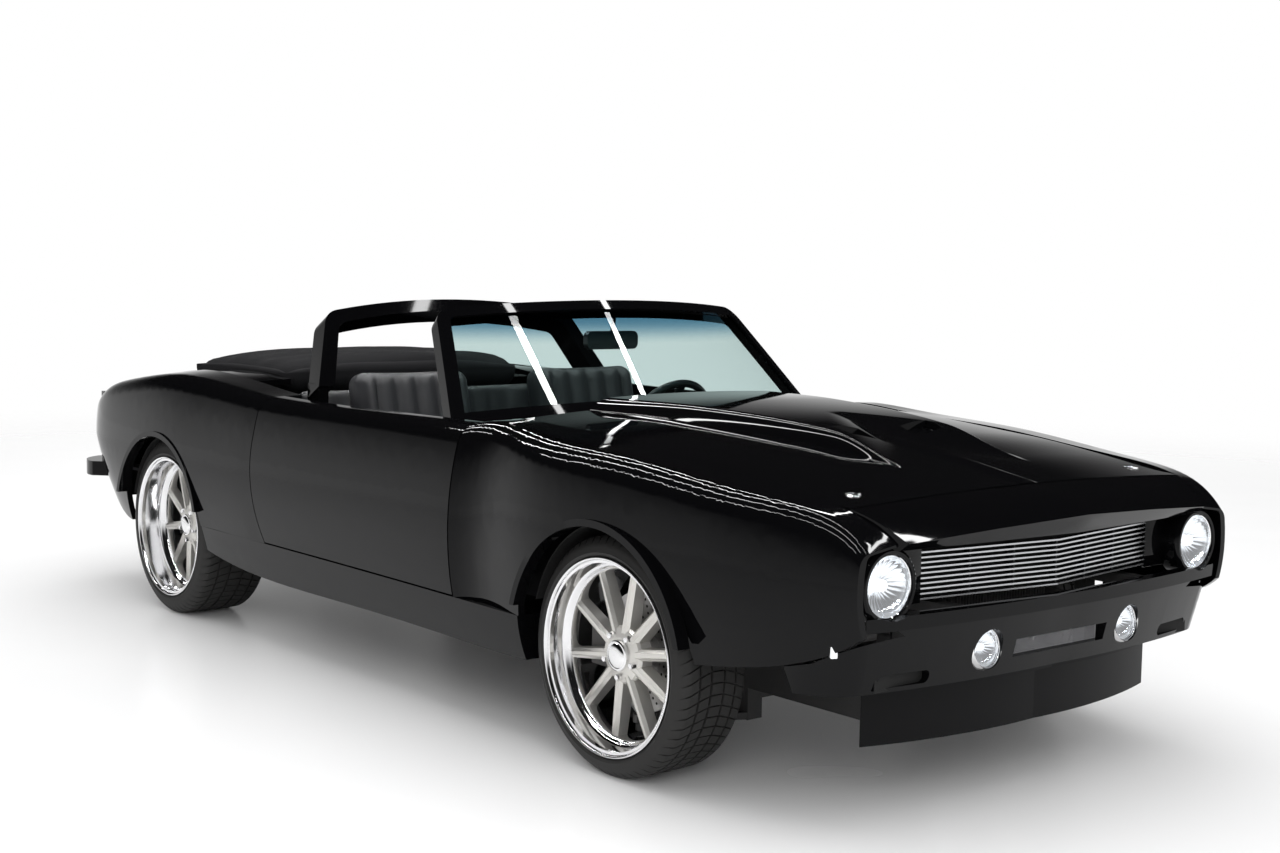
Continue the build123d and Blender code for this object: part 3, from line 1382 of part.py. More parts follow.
os.makedirs("parts", exist_ok=True)
for piece_name, shape in pieces().items():
    solids = [Pos(FRONT_AXLE_X, 0, 0) * s for s in shape.solids()]
    export_step(solids[0] if len(solids) == 1 else Compound(solids), f"parts/{piece_name}.step")
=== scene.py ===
"""Looks of an open two-door muscle car: finishes, wheels, lamps, cabin trim and a plain studio round its frame."""

from __future__ import annotations

import json
import logging
import math
from dataclasses import dataclass
from enum import Enum
from typing import Sequence

import bmesh
import bpy
from mathutils import Matrix, Vector

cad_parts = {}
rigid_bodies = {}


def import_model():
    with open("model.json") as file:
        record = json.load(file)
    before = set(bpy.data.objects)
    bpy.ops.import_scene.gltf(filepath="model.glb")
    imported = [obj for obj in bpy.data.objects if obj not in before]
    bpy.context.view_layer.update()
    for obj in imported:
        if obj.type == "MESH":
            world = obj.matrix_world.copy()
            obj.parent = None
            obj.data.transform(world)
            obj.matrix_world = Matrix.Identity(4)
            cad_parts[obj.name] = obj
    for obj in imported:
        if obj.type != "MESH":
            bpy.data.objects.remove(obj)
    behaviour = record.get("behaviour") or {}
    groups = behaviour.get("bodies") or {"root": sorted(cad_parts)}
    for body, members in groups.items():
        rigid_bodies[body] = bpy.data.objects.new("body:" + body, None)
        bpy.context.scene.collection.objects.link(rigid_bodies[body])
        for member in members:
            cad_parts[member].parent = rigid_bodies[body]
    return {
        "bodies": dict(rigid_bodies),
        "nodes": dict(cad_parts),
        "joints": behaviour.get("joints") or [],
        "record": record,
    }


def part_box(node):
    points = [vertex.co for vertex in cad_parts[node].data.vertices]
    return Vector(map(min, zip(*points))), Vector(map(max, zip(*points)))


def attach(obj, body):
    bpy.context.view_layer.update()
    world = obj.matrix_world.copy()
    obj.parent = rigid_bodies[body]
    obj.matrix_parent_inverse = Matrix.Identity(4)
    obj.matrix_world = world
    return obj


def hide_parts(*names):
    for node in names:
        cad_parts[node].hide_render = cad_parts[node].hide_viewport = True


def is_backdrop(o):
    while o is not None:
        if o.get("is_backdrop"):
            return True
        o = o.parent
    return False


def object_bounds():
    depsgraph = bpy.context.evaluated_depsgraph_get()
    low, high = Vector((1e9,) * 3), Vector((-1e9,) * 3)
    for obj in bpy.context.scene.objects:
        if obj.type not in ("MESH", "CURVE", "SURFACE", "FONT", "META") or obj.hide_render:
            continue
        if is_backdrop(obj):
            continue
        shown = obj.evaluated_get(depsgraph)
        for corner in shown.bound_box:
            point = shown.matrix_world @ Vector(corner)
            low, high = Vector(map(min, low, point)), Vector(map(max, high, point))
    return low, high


LOG = logging.getLogger("muscle_car")
FULL_TURN = 2 * math.pi
Point = tuple[float, float]


class Pattern(Enum):
    """Fine surface pattern that a finish carries."""

    SPECKLE = "fine random grain"
    BRUSHED = "long scratches along the car"
    WEAVE = "crossing threads"
    HIDE = "leather cells"
    PILE = "carpet tufts"


class Side(Enum):
    """Side of the car, as the sign of its width."""

    LEFT = 1
    RIGHT = -1


class Value:
    """A node's output that takes part in Python arithmetic."""

    def __init__(self, graph: "Graph", socket: bpy.types.NodeSocket) -> None:
        """Keeps the socket and the graph that new nodes go to."""
        self.graph = graph
        self.socket = socket

    def __add__(self, other: "Value | float") -> "Value":
        """Sum of two values."""
        return self.graph.maths("ADD", self, other)

    def __sub__(self, other: "Value | float") -> "Value":
        """Difference of two values."""
        return self.graph.maths("SUBTRACT", self, other)

    def __rsub__(self, other: float) -> "Value":
        """Difference of a number and a value."""
        return self.graph.maths("SUBTRACT", other, self)

    def __mul__(self, other: "Value | float") -> "Value":
        """Product of two values."""
        return self.graph.maths("MULTIPLY", self, other)

    def __pow__(self, other: float) -> "Value":
        """Power of a value."""
        return self.graph.maths("POWER", self, other)

    __radd__ = __add__
    __rmul__ = __mul__


class Graph:
    """Node tree of one material or world, with one way of adding a node."""

    def __init__(self, owner: bpy.types.Material | bpy.types.World) -> None:
        """Empties the owner's node tree.

        Args:
            owner: Material or world whose nodes are written.
        """
        owner.use_nodes = True
        self.tree = owner.node_tree
        self.tree.nodes.clear()

    def node(self, kind: str, settings: dict | None = None, sockets: dict | None = None) -> bpy.types.Node:
        """Adds one node.

        Args:
            kind: Node type without its ShaderNode prefix.
            settings: Properties set first; "stops" gives a ramp's (place, colour) pairs.
            sockets: Values or links of the inputs, by name or number.

        Returns:
            The new node.
        """
        node = self.tree.nodes.new("ShaderNode" + kind)
        for key, setting in (settings or {}).items():
            if key != "stops":
                setattr(node, key, setting)
                continue
            while len(node.color_ramp.elements) < len(setting):
                node.color_ramp.elements.new(1.0)
            for element, (place, colour) in zip(node.color_ramp.elements, setting):
                element.position = place
                element.color = (*colour, 1.0)
        for key, given in (sockets or {}).items():
            if isinstance(given, Value):
                self.tree.links.new(given.socket, node.inputs[key])
            else:
                node.inputs[key].default_value = given
        return node

    def value(self, node: bpy.types.Node, output: int | str = 0) -> Value:
        """One output of a node as a value."""
        return Value(self, node.outputs[output])

    def maths(self, operation: str, a: Value | float, b: Value | float) -> Value:
        """One Math node on two values."""
        return self.value(self.node("Math", {"operation": operation}, {0: a, 1: b}))

    def colour(self, factor: Value, a: Sequence[float], b: Sequence[float]) -> Value:
        """Mix of two colours by a factor."""
        sockets = {0: factor, 6: (*a, 1.0), 7: (*b, 1.0)}
        return self.value(self.node("Mix", {"data_type": "RGBA"}, sockets), 2)

    def finish(self, shader: bpy.types.Node, kind: str = "OutputMaterial") -> None:
        """Links a shader to the tree's output."""
        self.node(kind, None, {"Surface": self.value(shader)})


@dataclass(frozen=True)
class Surface:
    """An opaque finish whose colour, roughness and relief vary with a fine pattern."""

    name: str
    slot: str
    colour: tuple[float, float, float]
    fleck: tuple[float, float, float]
    rough: tuple[float, float]
    pattern: Pattern = Pattern.SPECKLE
    grain: float = 0.004
    relief: float = 0.0
    metallic: float = 0.0
    coat: float = 0.0
    specular: float = 0.5
    # Emission strength; where it is set, on the lamp reflector and lamp core finishes, the glow is painted light.
    glow: float = 0.0

    def material(self) -> bpy.types.Material:
        """Builds the material.

        Returns:
            A material that reads Object coordinates only.
        """
        made = bpy.data.materials.new(self.name)
        graph = Graph(made)
        pattern = self.field(graph)
        low, high = self.rough
        cloud = graph.node("TexNoise", None, {"Vector": self.place(graph), "Scale": 3.0, "Detail": 3.0})
        patch = graph.value(cloud)
        sockets = {
            "Base Color": graph.colour(pattern * 0.7 + patch * 0.3, self.colour, self.fleck),
            "Roughness": (patch * 0.6 + pattern * 0.4) * (high - low) + low,
            "Metallic": self.metallic,
            "Coat Weight": self.coat,
            "Coat Roughness": 0.02,
            "Specular IOR Level": self.specular,
            "Emission Color": (*self.fleck, 1.0),
            "Emission Strength": self.glow,
        }
        if self.relief:
            bump = graph.node("Bump", None, {"Height": pattern, "Distance": self.relief, "Strength": 0.6})
            sockets["Normal"] = graph.value(bump)
        graph.finish(graph.node("BsdfPrincipled", None, sockets))
        return made

    def place(self, graph: Graph) -> Value:
        """Object coordinates."""
        return graph.value(graph.node("TexCoord"), "Object")

    def field(self, graph: Graph) -> Value:
        """The fine pattern as a value from 0 to 1.

        Args:
            graph: Tree that the pattern's nodes go to.

        Returns:
            The pattern's value.
        """
        scale = 1.0 / self.grain
        place = self.place(graph)
        if self.pattern is Pattern.BRUSHED:
            stretched = graph.node("Mapping", None, {"Vector": place, "Scale": (0.02, 1.0, 1.0)})
            return graph.value(graph.node("TexNoise", None, {"Vector": graph.value(stretched), "Scale": scale}))
        if self.pattern is Pattern.HIDE:
            cells = graph.node("TexVoronoi", {"feature": "DISTANCE_TO_EDGE"}, {"Vector": place, "Scale": scale})
            return graph.value(cells) ** 0.5
        if self.pattern is Pattern.WEAVE:
            warp = self.threads(graph, place, "X", scale)
            weft = self.threads(graph, place, "Y", scale)
            return warp * 0.5 + weft * 0.5
        detail = 8.0 if self.pattern is Pattern.PILE else 2.0
        return graph.value(graph.node("TexNoise", None, {"Vector": place, "Scale": scale, "Detail": detail}))

    def threads(self, graph: Graph, place: Value, axis: str, scale: float) -> Value:
        """Bands of thread across one axis."""
        sockets = {"Vector": place, "Scale": scale, "Distortion": 0.4}
        return graph.value(graph.node("TexWave", {"bands_direction": axis}, sockets), "Fac")


@dataclass(frozen=True)
class Glass:
    """A thin clear finish: a tinted pane with a mirror gloss that grows at a grazing look."""

    name: str
    slot: str
    tint: tuple[float, float, float]
    band: tuple[float, float, float] | None = None
    band_from: float = 0.0
    band_to: float = 1.0

    def material(self) -> bpy.types.Material:
        """Builds the material, with a tinted band between two heights where one is given.

        Returns:
            A material that light passes through.
        """
        made = bpy.data.materials.new(self.name)
        graph = Graph(made)
        clear = graph.node("BsdfTransparent", None, {"Color": (*self.tint, 1.0)})
        shine = graph.node("BsdfGlossy", None, {"Color": (1.0, 1.0, 1.0, 1.0), "Roughness": 0.01})
        outer = 1.0 - graph.value(graph.node("NewGeometry"), "Backfacing")
        layer = graph.value(graph.node("Fresnel", None, {"IOR": 1.45})) * outer
        pane = graph.node("MixShader", None, {0: layer, 1: graph.value(clear), 2: graph.value(shine)})
        if self.band is not None:
            height = graph.node("SeparateXYZ", None, {0: graph.value(graph.node("TexCoord"), "Object")})
            settings = {"interpolation_type": "SMOOTHSTEP"}
            sockets = {0: graph.value(height, "Z"), 1: self.band_from, 2: self.band_to, 4: 0.75}
            share = graph.value(graph.node("MapRange", settings, sockets))
            shade = graph.node("BsdfTransparent", None, {"Color": (*self.band, 1.0)})
            pane = graph.node("MixShader", None, {0: share, 1: graph.value(pane), 2: graph.value(shade)})
        graph.finish(pane)
        return made


BLACK_PAINT = Surface(
    "gloss_black_paint", "black_paint", (0.0016, 0.0016, 0.0019), (0.0026, 0.0026, 0.003),
    (0.02, 0.05), specular=0.15
)
CHASSIS_PAINT = Surface(
    "satin_chassis_black", "chassis_black", (0.018, 0.018, 0.019), (0.034, 0.033, 0.032),
    (0.4, 0.62), relief=0.0004
)
CAST_IRON = Surface(
    "cast_iron", "cast_metal", (0.07, 0.07, 0.072), (0.14, 0.135, 0.13),
    (0.45, 0.7), relief=0.0008, metallic=0.6
)
PIPE_STEEL = Surface(
    "brushed_pipe", "exhaust_steel", (0.42, 0.41, 0.4), (0.55, 0.54, 0.53),
    (0.22, 0.42), Pattern.BRUSHED, metallic=1.0
)
BAR_METAL = Surface(
    "machined_bar", "bright_grille", (0.5, 0.51, 0.53), (0.64, 0.65, 0.67),
    (0.16, 0.3), Pattern.BRUSHED, metallic=1.0
)
# Dark lining, the own colour of the wheel wells and tubs; the same finish is painted shade on the hood scoop floors,
# the plates behind the grille and ducts, the disc holes and, with soot, the pipe bores.
LINING_AND_PAINTED_SHADE = Surface(
    "lining_and_painted_shade", "well_black", (0.010, 0.010, 0.010), (0.02, 0.02, 0.02),
    (0.7, 0.9), relief=0.001, specular=0.2
)
RUBBER = Surface(
    "tyre_rubber", "tyre", (0.012, 0.012, 0.012), (0.022, 0.021, 0.02),
    (0.5, 0.72), relief=0.0003, specular=0.35
)
SPOKE_METAL = Surface(
    "satin_spoke", "wheel_alloy", (0.66, 0.645, 0.61), (0.74, 0.725, 0.69),
    (0.32, 0.45), grain=0.002, metallic=0.8
)
LIP_METAL = Surface(
    "polished_lip", "wheel_alloy", (0.8, 0.8, 0.81), (0.88, 0.88, 0.89),
    (0.06, 0.14), grain=0.01, metallic=1.0
)
BRIGHT_METAL = Surface(
    "bright_plating", "wheel_alloy", (0.82, 0.82, 0.83), (0.9, 0.9, 0.9),
    (0.03, 0.08), grain=0.02, metallic=1.0
)
DISC_STEEL = Surface(
    "brake_disc", "wheel_alloy", (0.36, 0.355, 0.35), (0.48, 0.47, 0.46),
    (0.3, 0.45), grain=0.002, metallic=1.0
)
CANVAS = Surface(
    "boot_canvas", "canvas", (0.006, 0.006, 0.007), (0.016, 0.016, 0.018),
    (0.75, 0.95), Pattern.WEAVE, 0.0012, 0.0006,
    specular=0.15,
)
TRIM = Surface(
    "grained_trim", "trim_black", (0.012, 0.012, 0.0125), (0.02, 0.02, 0.021),
    (0.45, 0.6), Pattern.HIDE, 0.003, 0.0003
)
SEAT_HIDE = Surface(
    "seat_leather", "seat_leather", (0.012, 0.0125, 0.015), (0.022, 0.023, 0.028),
    (0.38, 0.55), Pattern.HIDE, 0.0025,
    0.0003,
)
CARPET = Surface(
    "cabin_carpet", "well_black", (0.008, 0.008, 0.009), (0.022, 0.022, 0.024),
    (0.85, 1.0), Pattern.PILE, 0.003, 0.002,
    specular=0.1,
)
MOULDED = Surface(
    "moulded_black", "mirror", (0.010, 0.010, 0.011), (0.016, 0.016, 0.017), (0.25, 0.4), relief=0.0001
)
RED_LENS = Surface(
    "red_lens", "red_lens", (0.11, 0.002, 0.003), (0.17, 0.003, 0.004),
    (0.05, 0.1), grain=0.006, coat=1.0, relief=0.0004
)
# Bright metal with a glow: the glow is a painted reflection of the bright studio, as the lamps are not lit; the side
# markers take this finish too.
REFLECTOR_WITH_PAINTED_SHINE = Surface(
    "lamp_reflector_painted_shine", "lamp_glass", (0.86, 0.88, 0.9), (0.93, 0.94, 0.96),
    (0.05, 0.14), grain=0.01, metallic=1.0,
    glow=0.22,
)
# White with a glow: the glow is painted light, a painted highlight on the unlit lamp cores and on the dial marks.
CORE_WITH_PAINTED_GLOW = Surface(
    "lamp_core_painted_glow", "lamp_glass", (0.9, 0.92, 0.95), (1.0, 1.0, 1.0), (0.1, 0.2), grain=0.01, glow=0.5
)
DARK_BLADE = Surface(
    "dark_blade", "bright_grille", (0.006, 0.006, 0.007), (0.012, 0.012, 0.013), (0.25, 0.4), specular=0.3
)
MESH_WIRE = Surface(
    "screen_wire", "mesh", (0.5, 0.5, 0.52), (0.62, 0.62, 0.64), (0.25, 0.4), grain=0.003, metallic=0.4
)
SATIN_BLACK = Surface(
    "satin_black", "black_paint", (0.003, 0.003, 0.0034), (0.006, 0.006, 0.0065),
    (0.35, 0.5), relief=0.0001, specular=0.1
)
SCREEN_GLASS = Glass("tinted_screen", "windshield", (0.74, 0.83, 0.82), (0.10, 0.30, 0.42), 1.11, 1.20)
LAMP_GLASS = Glass("lamp_glass", "lamp_glass", (0.97, 0.98, 0.99))


class Workshop:
    """Holds the frame and the finished materials, and puts pieces on their bodies."""

    def __init__(self) -> None:
        """Loads the frame and keeps its box."""
        self.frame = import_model()
        self.cad_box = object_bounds()
        low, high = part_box("tyre_front_left")
        self.axle = (low.x + high.x) / 2
        self.materials: dict[str, bpy.types.Material] = {}
        self.bodies = {
            node: body for body, nodes in self.frame["record"]["behaviour"]["bodies"].items() for node in nodes
        }

    def station(self, ahead: float) -> float:
        """Frame X of a station measured forward from the front axle."""
        return self.axle + ahead

    def paint(self, finish: Surface | Glass) -> bpy.types.Material:
        """The material of a finish, made once.

        Args:
            finish: Finish to look up.

        Returns:
            Its material.
        """
        if finish.name not in self.materials:
            self.materials[finish.name] = finish.material()
        return self.materials[finish.name]

    def dress(self, node: str, finish: Surface | Glass) -> None:
        """Gives a frame node that stays in view its finish.

        Args:
            node: Frame node.
            finish: Its finish.
        """
        data = self.frame["nodes"][node].data
        data.materials.clear()
        data.materials.append(self.paint(finish))

    def add(
        self, name: str, mesh: bmesh.types.BMesh, body: str, finish: Surface | Glass, nodes: Sequence[str] = ()
    ) -> bpy.types.Object:
        """Makes a piece from a bmesh, which is freed.

        Args:
            name: Name of the piece.
            mesh: Its shape, in the frame's own place.
            body: Body that it moves with.
            finish: Its finish.
            nodes: Frame nodes that it stands for.

        Returns:
            The new object.
        """
        data = bpy.data.meshes.new(name)
        mesh.to_mesh(data)
        mesh.free()
        if "custom_normal" in data.attributes:
            data.attributes.remove(data.attributes["custom_normal"])
        piece = bpy.data.objects.new(name, data)
        bpy.context.scene.collection.objects.link(piece)
        data.materials.clear()
        data.materials.append(self.paint(finish))
        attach(piece, body)
        if nodes:
            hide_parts(*nodes)
        LOG.info("%s on %s: %d faces", name, body, len(data.polygons))
        return piece

    def group(
        self, name: str, meshes: Sequence[bmesh.types.BMesh], finish: Surface | Glass, nodes: Sequence[str] = (),
        crease: float = 36.0,
    ) -> bpy.types.Object:
        """Joins several shapes into one smooth piece of the car's body.

        Args:
            name: Name of the piece.
            meshes: Its shapes, which are freed.
            finish: Its finish.
            nodes: Frame nodes that it stands for.
            crease: Angle in degrees above which an edge stays sharp.

        Returns:
            The new object.
        """
        mesh = joined(meshes)
        smooth(mesh, crease)
        return self.add(name, mesh, "body", finish, nodes)

    def copy_of(self, node: str) -> bmesh.types.BMesh:
        """A merged copy of a frame node's mesh.

        Args:
            node: Frame node.

        Returns:
            A mesh that the caller frees.
        """
        mesh = bmesh.new()
        mesh.from_mesh(self.frame["nodes"][node].data)
        bmesh.ops.remove_doubles(mesh, verts=mesh.verts, dist=2e-5)
        return mesh


def smooth(mesh: bmesh.types.BMesh, crease: float = 32.0) -> None:
    """Shades a mesh smoothly, with sharp edges above an angle in degrees.

    Args:
        mesh: Mesh to shade.
        crease: Angle above which an edge stays sharp.
    """
    limit = math.radians(crease)
    for face in mesh.faces:
        face.smooth = True
    for edge in mesh.edges:
        edge.smooth = len(edge.link_faces) == 2 and edge.calc_face_angle(0.0) < limit


def spun(profile: Sequence[Point], steps: int, closed: bool = True) -> bmesh.types.BMesh:
    """Ring about the Y axis through the origin.

    Args:
        profile: (radius, width) points of the section.
        steps: Facets round the ring.
        closed: Whether the section's last point joins its first.

    Returns:
        The ring's mesh.
    """
    mesh = bmesh.new()
    points = [mesh.verts.new((radius, width, 0.0)) for radius, width in profile]
    pairs = list(zip(points, points[1:] + points[:1] if closed else points[1:]))
    edges = [mesh.edges.new(pair) for pair in pairs]
    bmesh.ops.spin(
        mesh, geom=points + edges, cent=(0, 0, 0), axis=(0, 1, 0), angle=FULL_TURN, steps=steps, use_merge=True
    )
    bmesh.ops.remove_doubles(mesh, verts=mesh.verts, dist=1e-6)
    bmesh.ops.recalc_face_normals(mesh, faces=mesh.faces)
    return mesh


def moved(mesh: bmesh.types.BMesh, matrix: Matrix) -> bmesh.types.BMesh:
    """Applies a place to a mesh, with its faces kept outwards.

    Args:
        mesh: Mesh to move.
        matrix: Its place.

    Returns:
        The same mesh.
    """
    bmesh.ops.transform(mesh, matrix=matrix, verts=mesh.verts)
    if matrix.determinant() < 0:
        bmesh.ops.reverse_faces(mesh, faces=mesh.faces)
    return mesh


def joined(meshes: Sequence[bmesh.types.BMesh]) -> bmesh.types.BMesh:
    """One mesh of several, which are freed.

    Args:
        meshes: Meshes to join.

    Returns:
        The joined mesh.
    """
    whole = bmesh.new()
    for mesh in meshes:
        part = bpy.data.meshes.new("part")
        mesh.to_mesh(part)
        mesh.free()
        whole.from_mesh(part)
        bpy.data.meshes.remove(part)
    return whole


def block(low: Sequence[float], high: Sequence[float], round_by: float, segments: int = 3) -> bmesh.types.BMesh:
    """Box between two corners with rounded edges.

    Args:
        low: Lowest corner.
        high: Highest corner.
        round_by: Width of the rounding.
        segments: Facets of the rounding.

    Returns:
        The box.
    """
    mesh = bmesh.new()
    bmesh.ops.create_cube(mesh, size=1.0)
    centre = (Vector(low) + Vector(high)) / 2
    size = Vector(high) - Vector(low)
    moved(mesh, Matrix.Translation(centre) @ Matrix.Diagonal((*size, 1.0)))
    bmesh.ops.bevel(
        mesh, geom=mesh.edges[:], offset=round_by, affect="EDGES", segments=segments, profile=0.5, material=-1
    )
    return mesh


@dataclass
class Panels:
    """Painted sheet metal, merged from the frame's own panels and shaded smooth."""

    shop: Workshop
    painted: tuple[str, ...] = (
        "front_fenders", "header_panel", "cowl_panel", "door_left", "door_right", "rocker_panels",
        "quarter_panels", "rear_deck", "trunk_lid", "tail_panel", "rear_bumper", "rear_valance", "front_bumper",
        "front_valance", "windshield_frame", "roll_hoop",
    )
    crease: float = 26.0

    def build(self) -> None:
        """Makes each panel's smooth skin in black paint."""
        for node in self.painted:
            mesh = self.shop.copy_of(node)
            smooth(mesh, self.crease)
            piece = self.shop.add(node + "_skin", mesh, self.shop.bodies[node], BLACK_PAINT, [node])
            weighted = piece.modifiers.new("even_normals", "WEIGHTED_NORMAL")
            weighted.keep_sharp = True


def fair(rows: Sequence[Sequence[float]], column: int, station: float) -> float:
    """Value of one column at a station, on a smooth cubic through rows that run from the front to the back.

    Args:
        rows: Rows that start with their station.
        column: Column to read.
        station: Place along the car.

    Returns:
        The value there.
    """
    last = len(rows) - 1
    index = next((k for k in range(last - 1) if station >= rows[k + 1][0]), last - 1)

    def slope(k: int) -> float:
        """Slope of the column at a row."""
        before, after = rows[max(k - 1, 0)], rows[min(k + 1, last)]
        return (after[column] - before[column]) / (after[0] - before[0])

    start, end = rows[index], rows[index + 1]
    span = end[0] - start[0]
    t = (station - start[0]) / span
    return (
        start[column] * (1 + 2 * t) * (1 - t) ** 2
        + slope(index) * span * t * (1 - t) ** 2
        + end[column] * t * t * (3 - 2 * t)
        + slope(index + 1) * span * t * t * (t - 1)
    )


def rise_to(share: float) -> float:
    """Quarter wave from 0 to 1 that starts with a crease and ends level."""
    return math.sin(math.pi / 2 * min(max(share, 0.0), 1.0))


@dataclass
class Hood:
    """Hood skin with its crown, arrow-fronted bulges, scoop mouths, centre spine and catches."""

    shop: Workshop
    rows: tuple[tuple[float, float, float, float], ...] = (
        (0.702, 0.676, 0.798, 0.816), (0.450, 0.683, 0.834, 0.856), (0.150, 0.684, 0.869, 0.897),
        (-0.300, 0.684, 0.901, 0.928), (-0.664, 0.684, 0.909, 0.936),
    )
    bulge: tuple[tuple[float, float, float, float], ...] = (
        (0.520, 0.243, 0.238, 0.030), (0.290, 0.268, 0.228, 0.038), (0.090, 0.300, 0.244, 0.042),
        (-0.250, 0.352, 0.285, 0.040), (-0.664, 0.420, 0.340, 0.034),
    )
    tip: tuple[float, float] = (0.52, 0.238)
    inner_front: tuple[float, float] = (0.27, 0.02)
    ramp: float = 0.30
    spine: tuple[float, float] = (0.036, 0.011)
    mouth: tuple[float, float, float, float] = (0.165, 0.235, 0.085, 0.200)
    thick: float = 0.018
    catch_at: tuple[float, float] = (0.620, 0.580)
    catch_r: float = 0.021

    def build(self) -> None:
        """Makes the skin and its two flush catches."""
        mesh = bmesh.new()
        bmesh.ops.create_grid(mesh, x_segments=150, y_segments=150, size=1.0)
        front, rear = self.rows[0][0], self.rows[-1][0]
        for vert in mesh.verts:
            station = rear + (vert.co.x + 1) / 2 * (front - rear)
            width = math.copysign(self.away(station, abs(vert.co.y)), vert.co.y)
            vert.co = Vector((self.shop.station(station), width, self.height(station, width)))
        mouths = [f for f in mesh.faces if self.in_mouth(f.calc_center_median())]
        bmesh.ops.inset_region(mesh, faces=mouths, thickness=0.003, depth=-0.022)
        # The mouths' sunken floors take the dark lining as material 1: painted shade inside the scoop openings.
        for face in mouths:
            face.material_index = 1
        smooth(mesh, 40.0)
        piece = self.shop.add("hood_skin", mesh, "hood", BLACK_PAINT, ["hood"])
        piece.data.materials.append(self.shop.paint(LINING_AND_PAINTED_SHADE))
        wall = piece.modifiers.new("wall", "SOLIDIFY")
        wall.thickness, wall.offset = self.thick, -1.0
        self.catches()

    def away(self, station: float, share: float) -> float:
        """Distance from the centre line of a grid column, so that columns run along the bulge's foot and top.

        Args:
            station: Place along the car.
            share: Column from 0 at the centre to 1 at the edge.

        Returns:
            The distance in metres.
        """
        foot, top = (fair(self.bulge, column, min(station, self.tip[0])) for column in (1, 2))
        stops = ((0.0, 0.0), (0.36, top), (0.56, foot), (1.0, fair(self.rows, 1, station)))
        low, high = next(pair for pair in zip(stops, stops[1:]) if share <= pair[1][0] + 1e-6)
        return low[1] + (share - low[0]) / (high[0] - low[0]) * (high[1] - low[1])

    def in_mouth(self, point: Vector) -> bool:
        """Whether a point of the skin lies in a scoop's mouth.

        Args:
            point: Point in the frame.

        Returns:
            True inside a mouth.
        """
        near, far, inner, outer = self.mouth
        station = point.x - self.shop.station(0.0)
        return near < station < far and inner < abs(point.y) < outer

    def height(self, station: float, width: float) -> float:
        """Height of the skin at a station and width.

        Args:
            station: Place along the car.
            width: Place across the car.

        Returns:
            The height in metres.
        """
        half, edge, crown = (fair(self.rows, column, station) for column in (1, 2, 3))
        base = crown - (crown - edge) * (width / half) ** 2
        return base + self.relief(station, abs(width))

    def relief(self, station: float, away: float) -> float:
        """Rise of bulge and spine over the crowned panel.

        Args:
            station: Place along the car.
            away: Distance from the centre line.

        Returns:
            The rise in metres.
        """
        foot, top, rise = (fair(self.bulge, column, min(station, self.tip[0])) for column in (1, 2, 3))
        near, far = self.inner_front, self.tip
        share = min(max(away - near[1], 0.0) / (far[1] - near[1]), 1.0)
        start = near[0] + share * (far[0] - near[0])
        ramp = min(max((start - station) / self.ramp, 0.0), 1.0)
        lift = rise * ramp * ramp * (3 - 2 * ramp) * rise_to((foot - away) / (foot - top))
        half, ridge = self.spine
        return max(lift, ridge * max(1.0 - away / (half + 0.03 * (0.7 - station)), 0.0))

    def catches(self) -> None:
        """Round flush catches near the front corners."""
        meshes = []
        station, width = self.catch_at
        r = self.catch_r
        section = [(0.0001, 0.0), (r * 0.55, 0.0), (r * 0.6, -0.0008), (r * 0.9, -0.0008), (r * 0.95, 0.0008),
                   (r, 0.0), (r, -0.006), (0.0001, -0.006)]
        for side in Side:
            spot = Vector((self.shop.station(station), side.value * width, self.height(station, width) + 0.0015))
            lean = Vector((0.13, side.value * 0.045, 1.0)).to_track_quat("Z", "Y").to_matrix().to_4x4()
            flat = Matrix.Rotation(math.pi / 2, 4, "X")
            meshes.append(moved(spun(section, 40), Matrix.Translation(spot) @ lean @ flat))
        mesh = joined(meshes)
        smooth(mesh, 30.0)
        self.shop.add("hood_catches", mesh, "hood", BRIGHT_METAL)


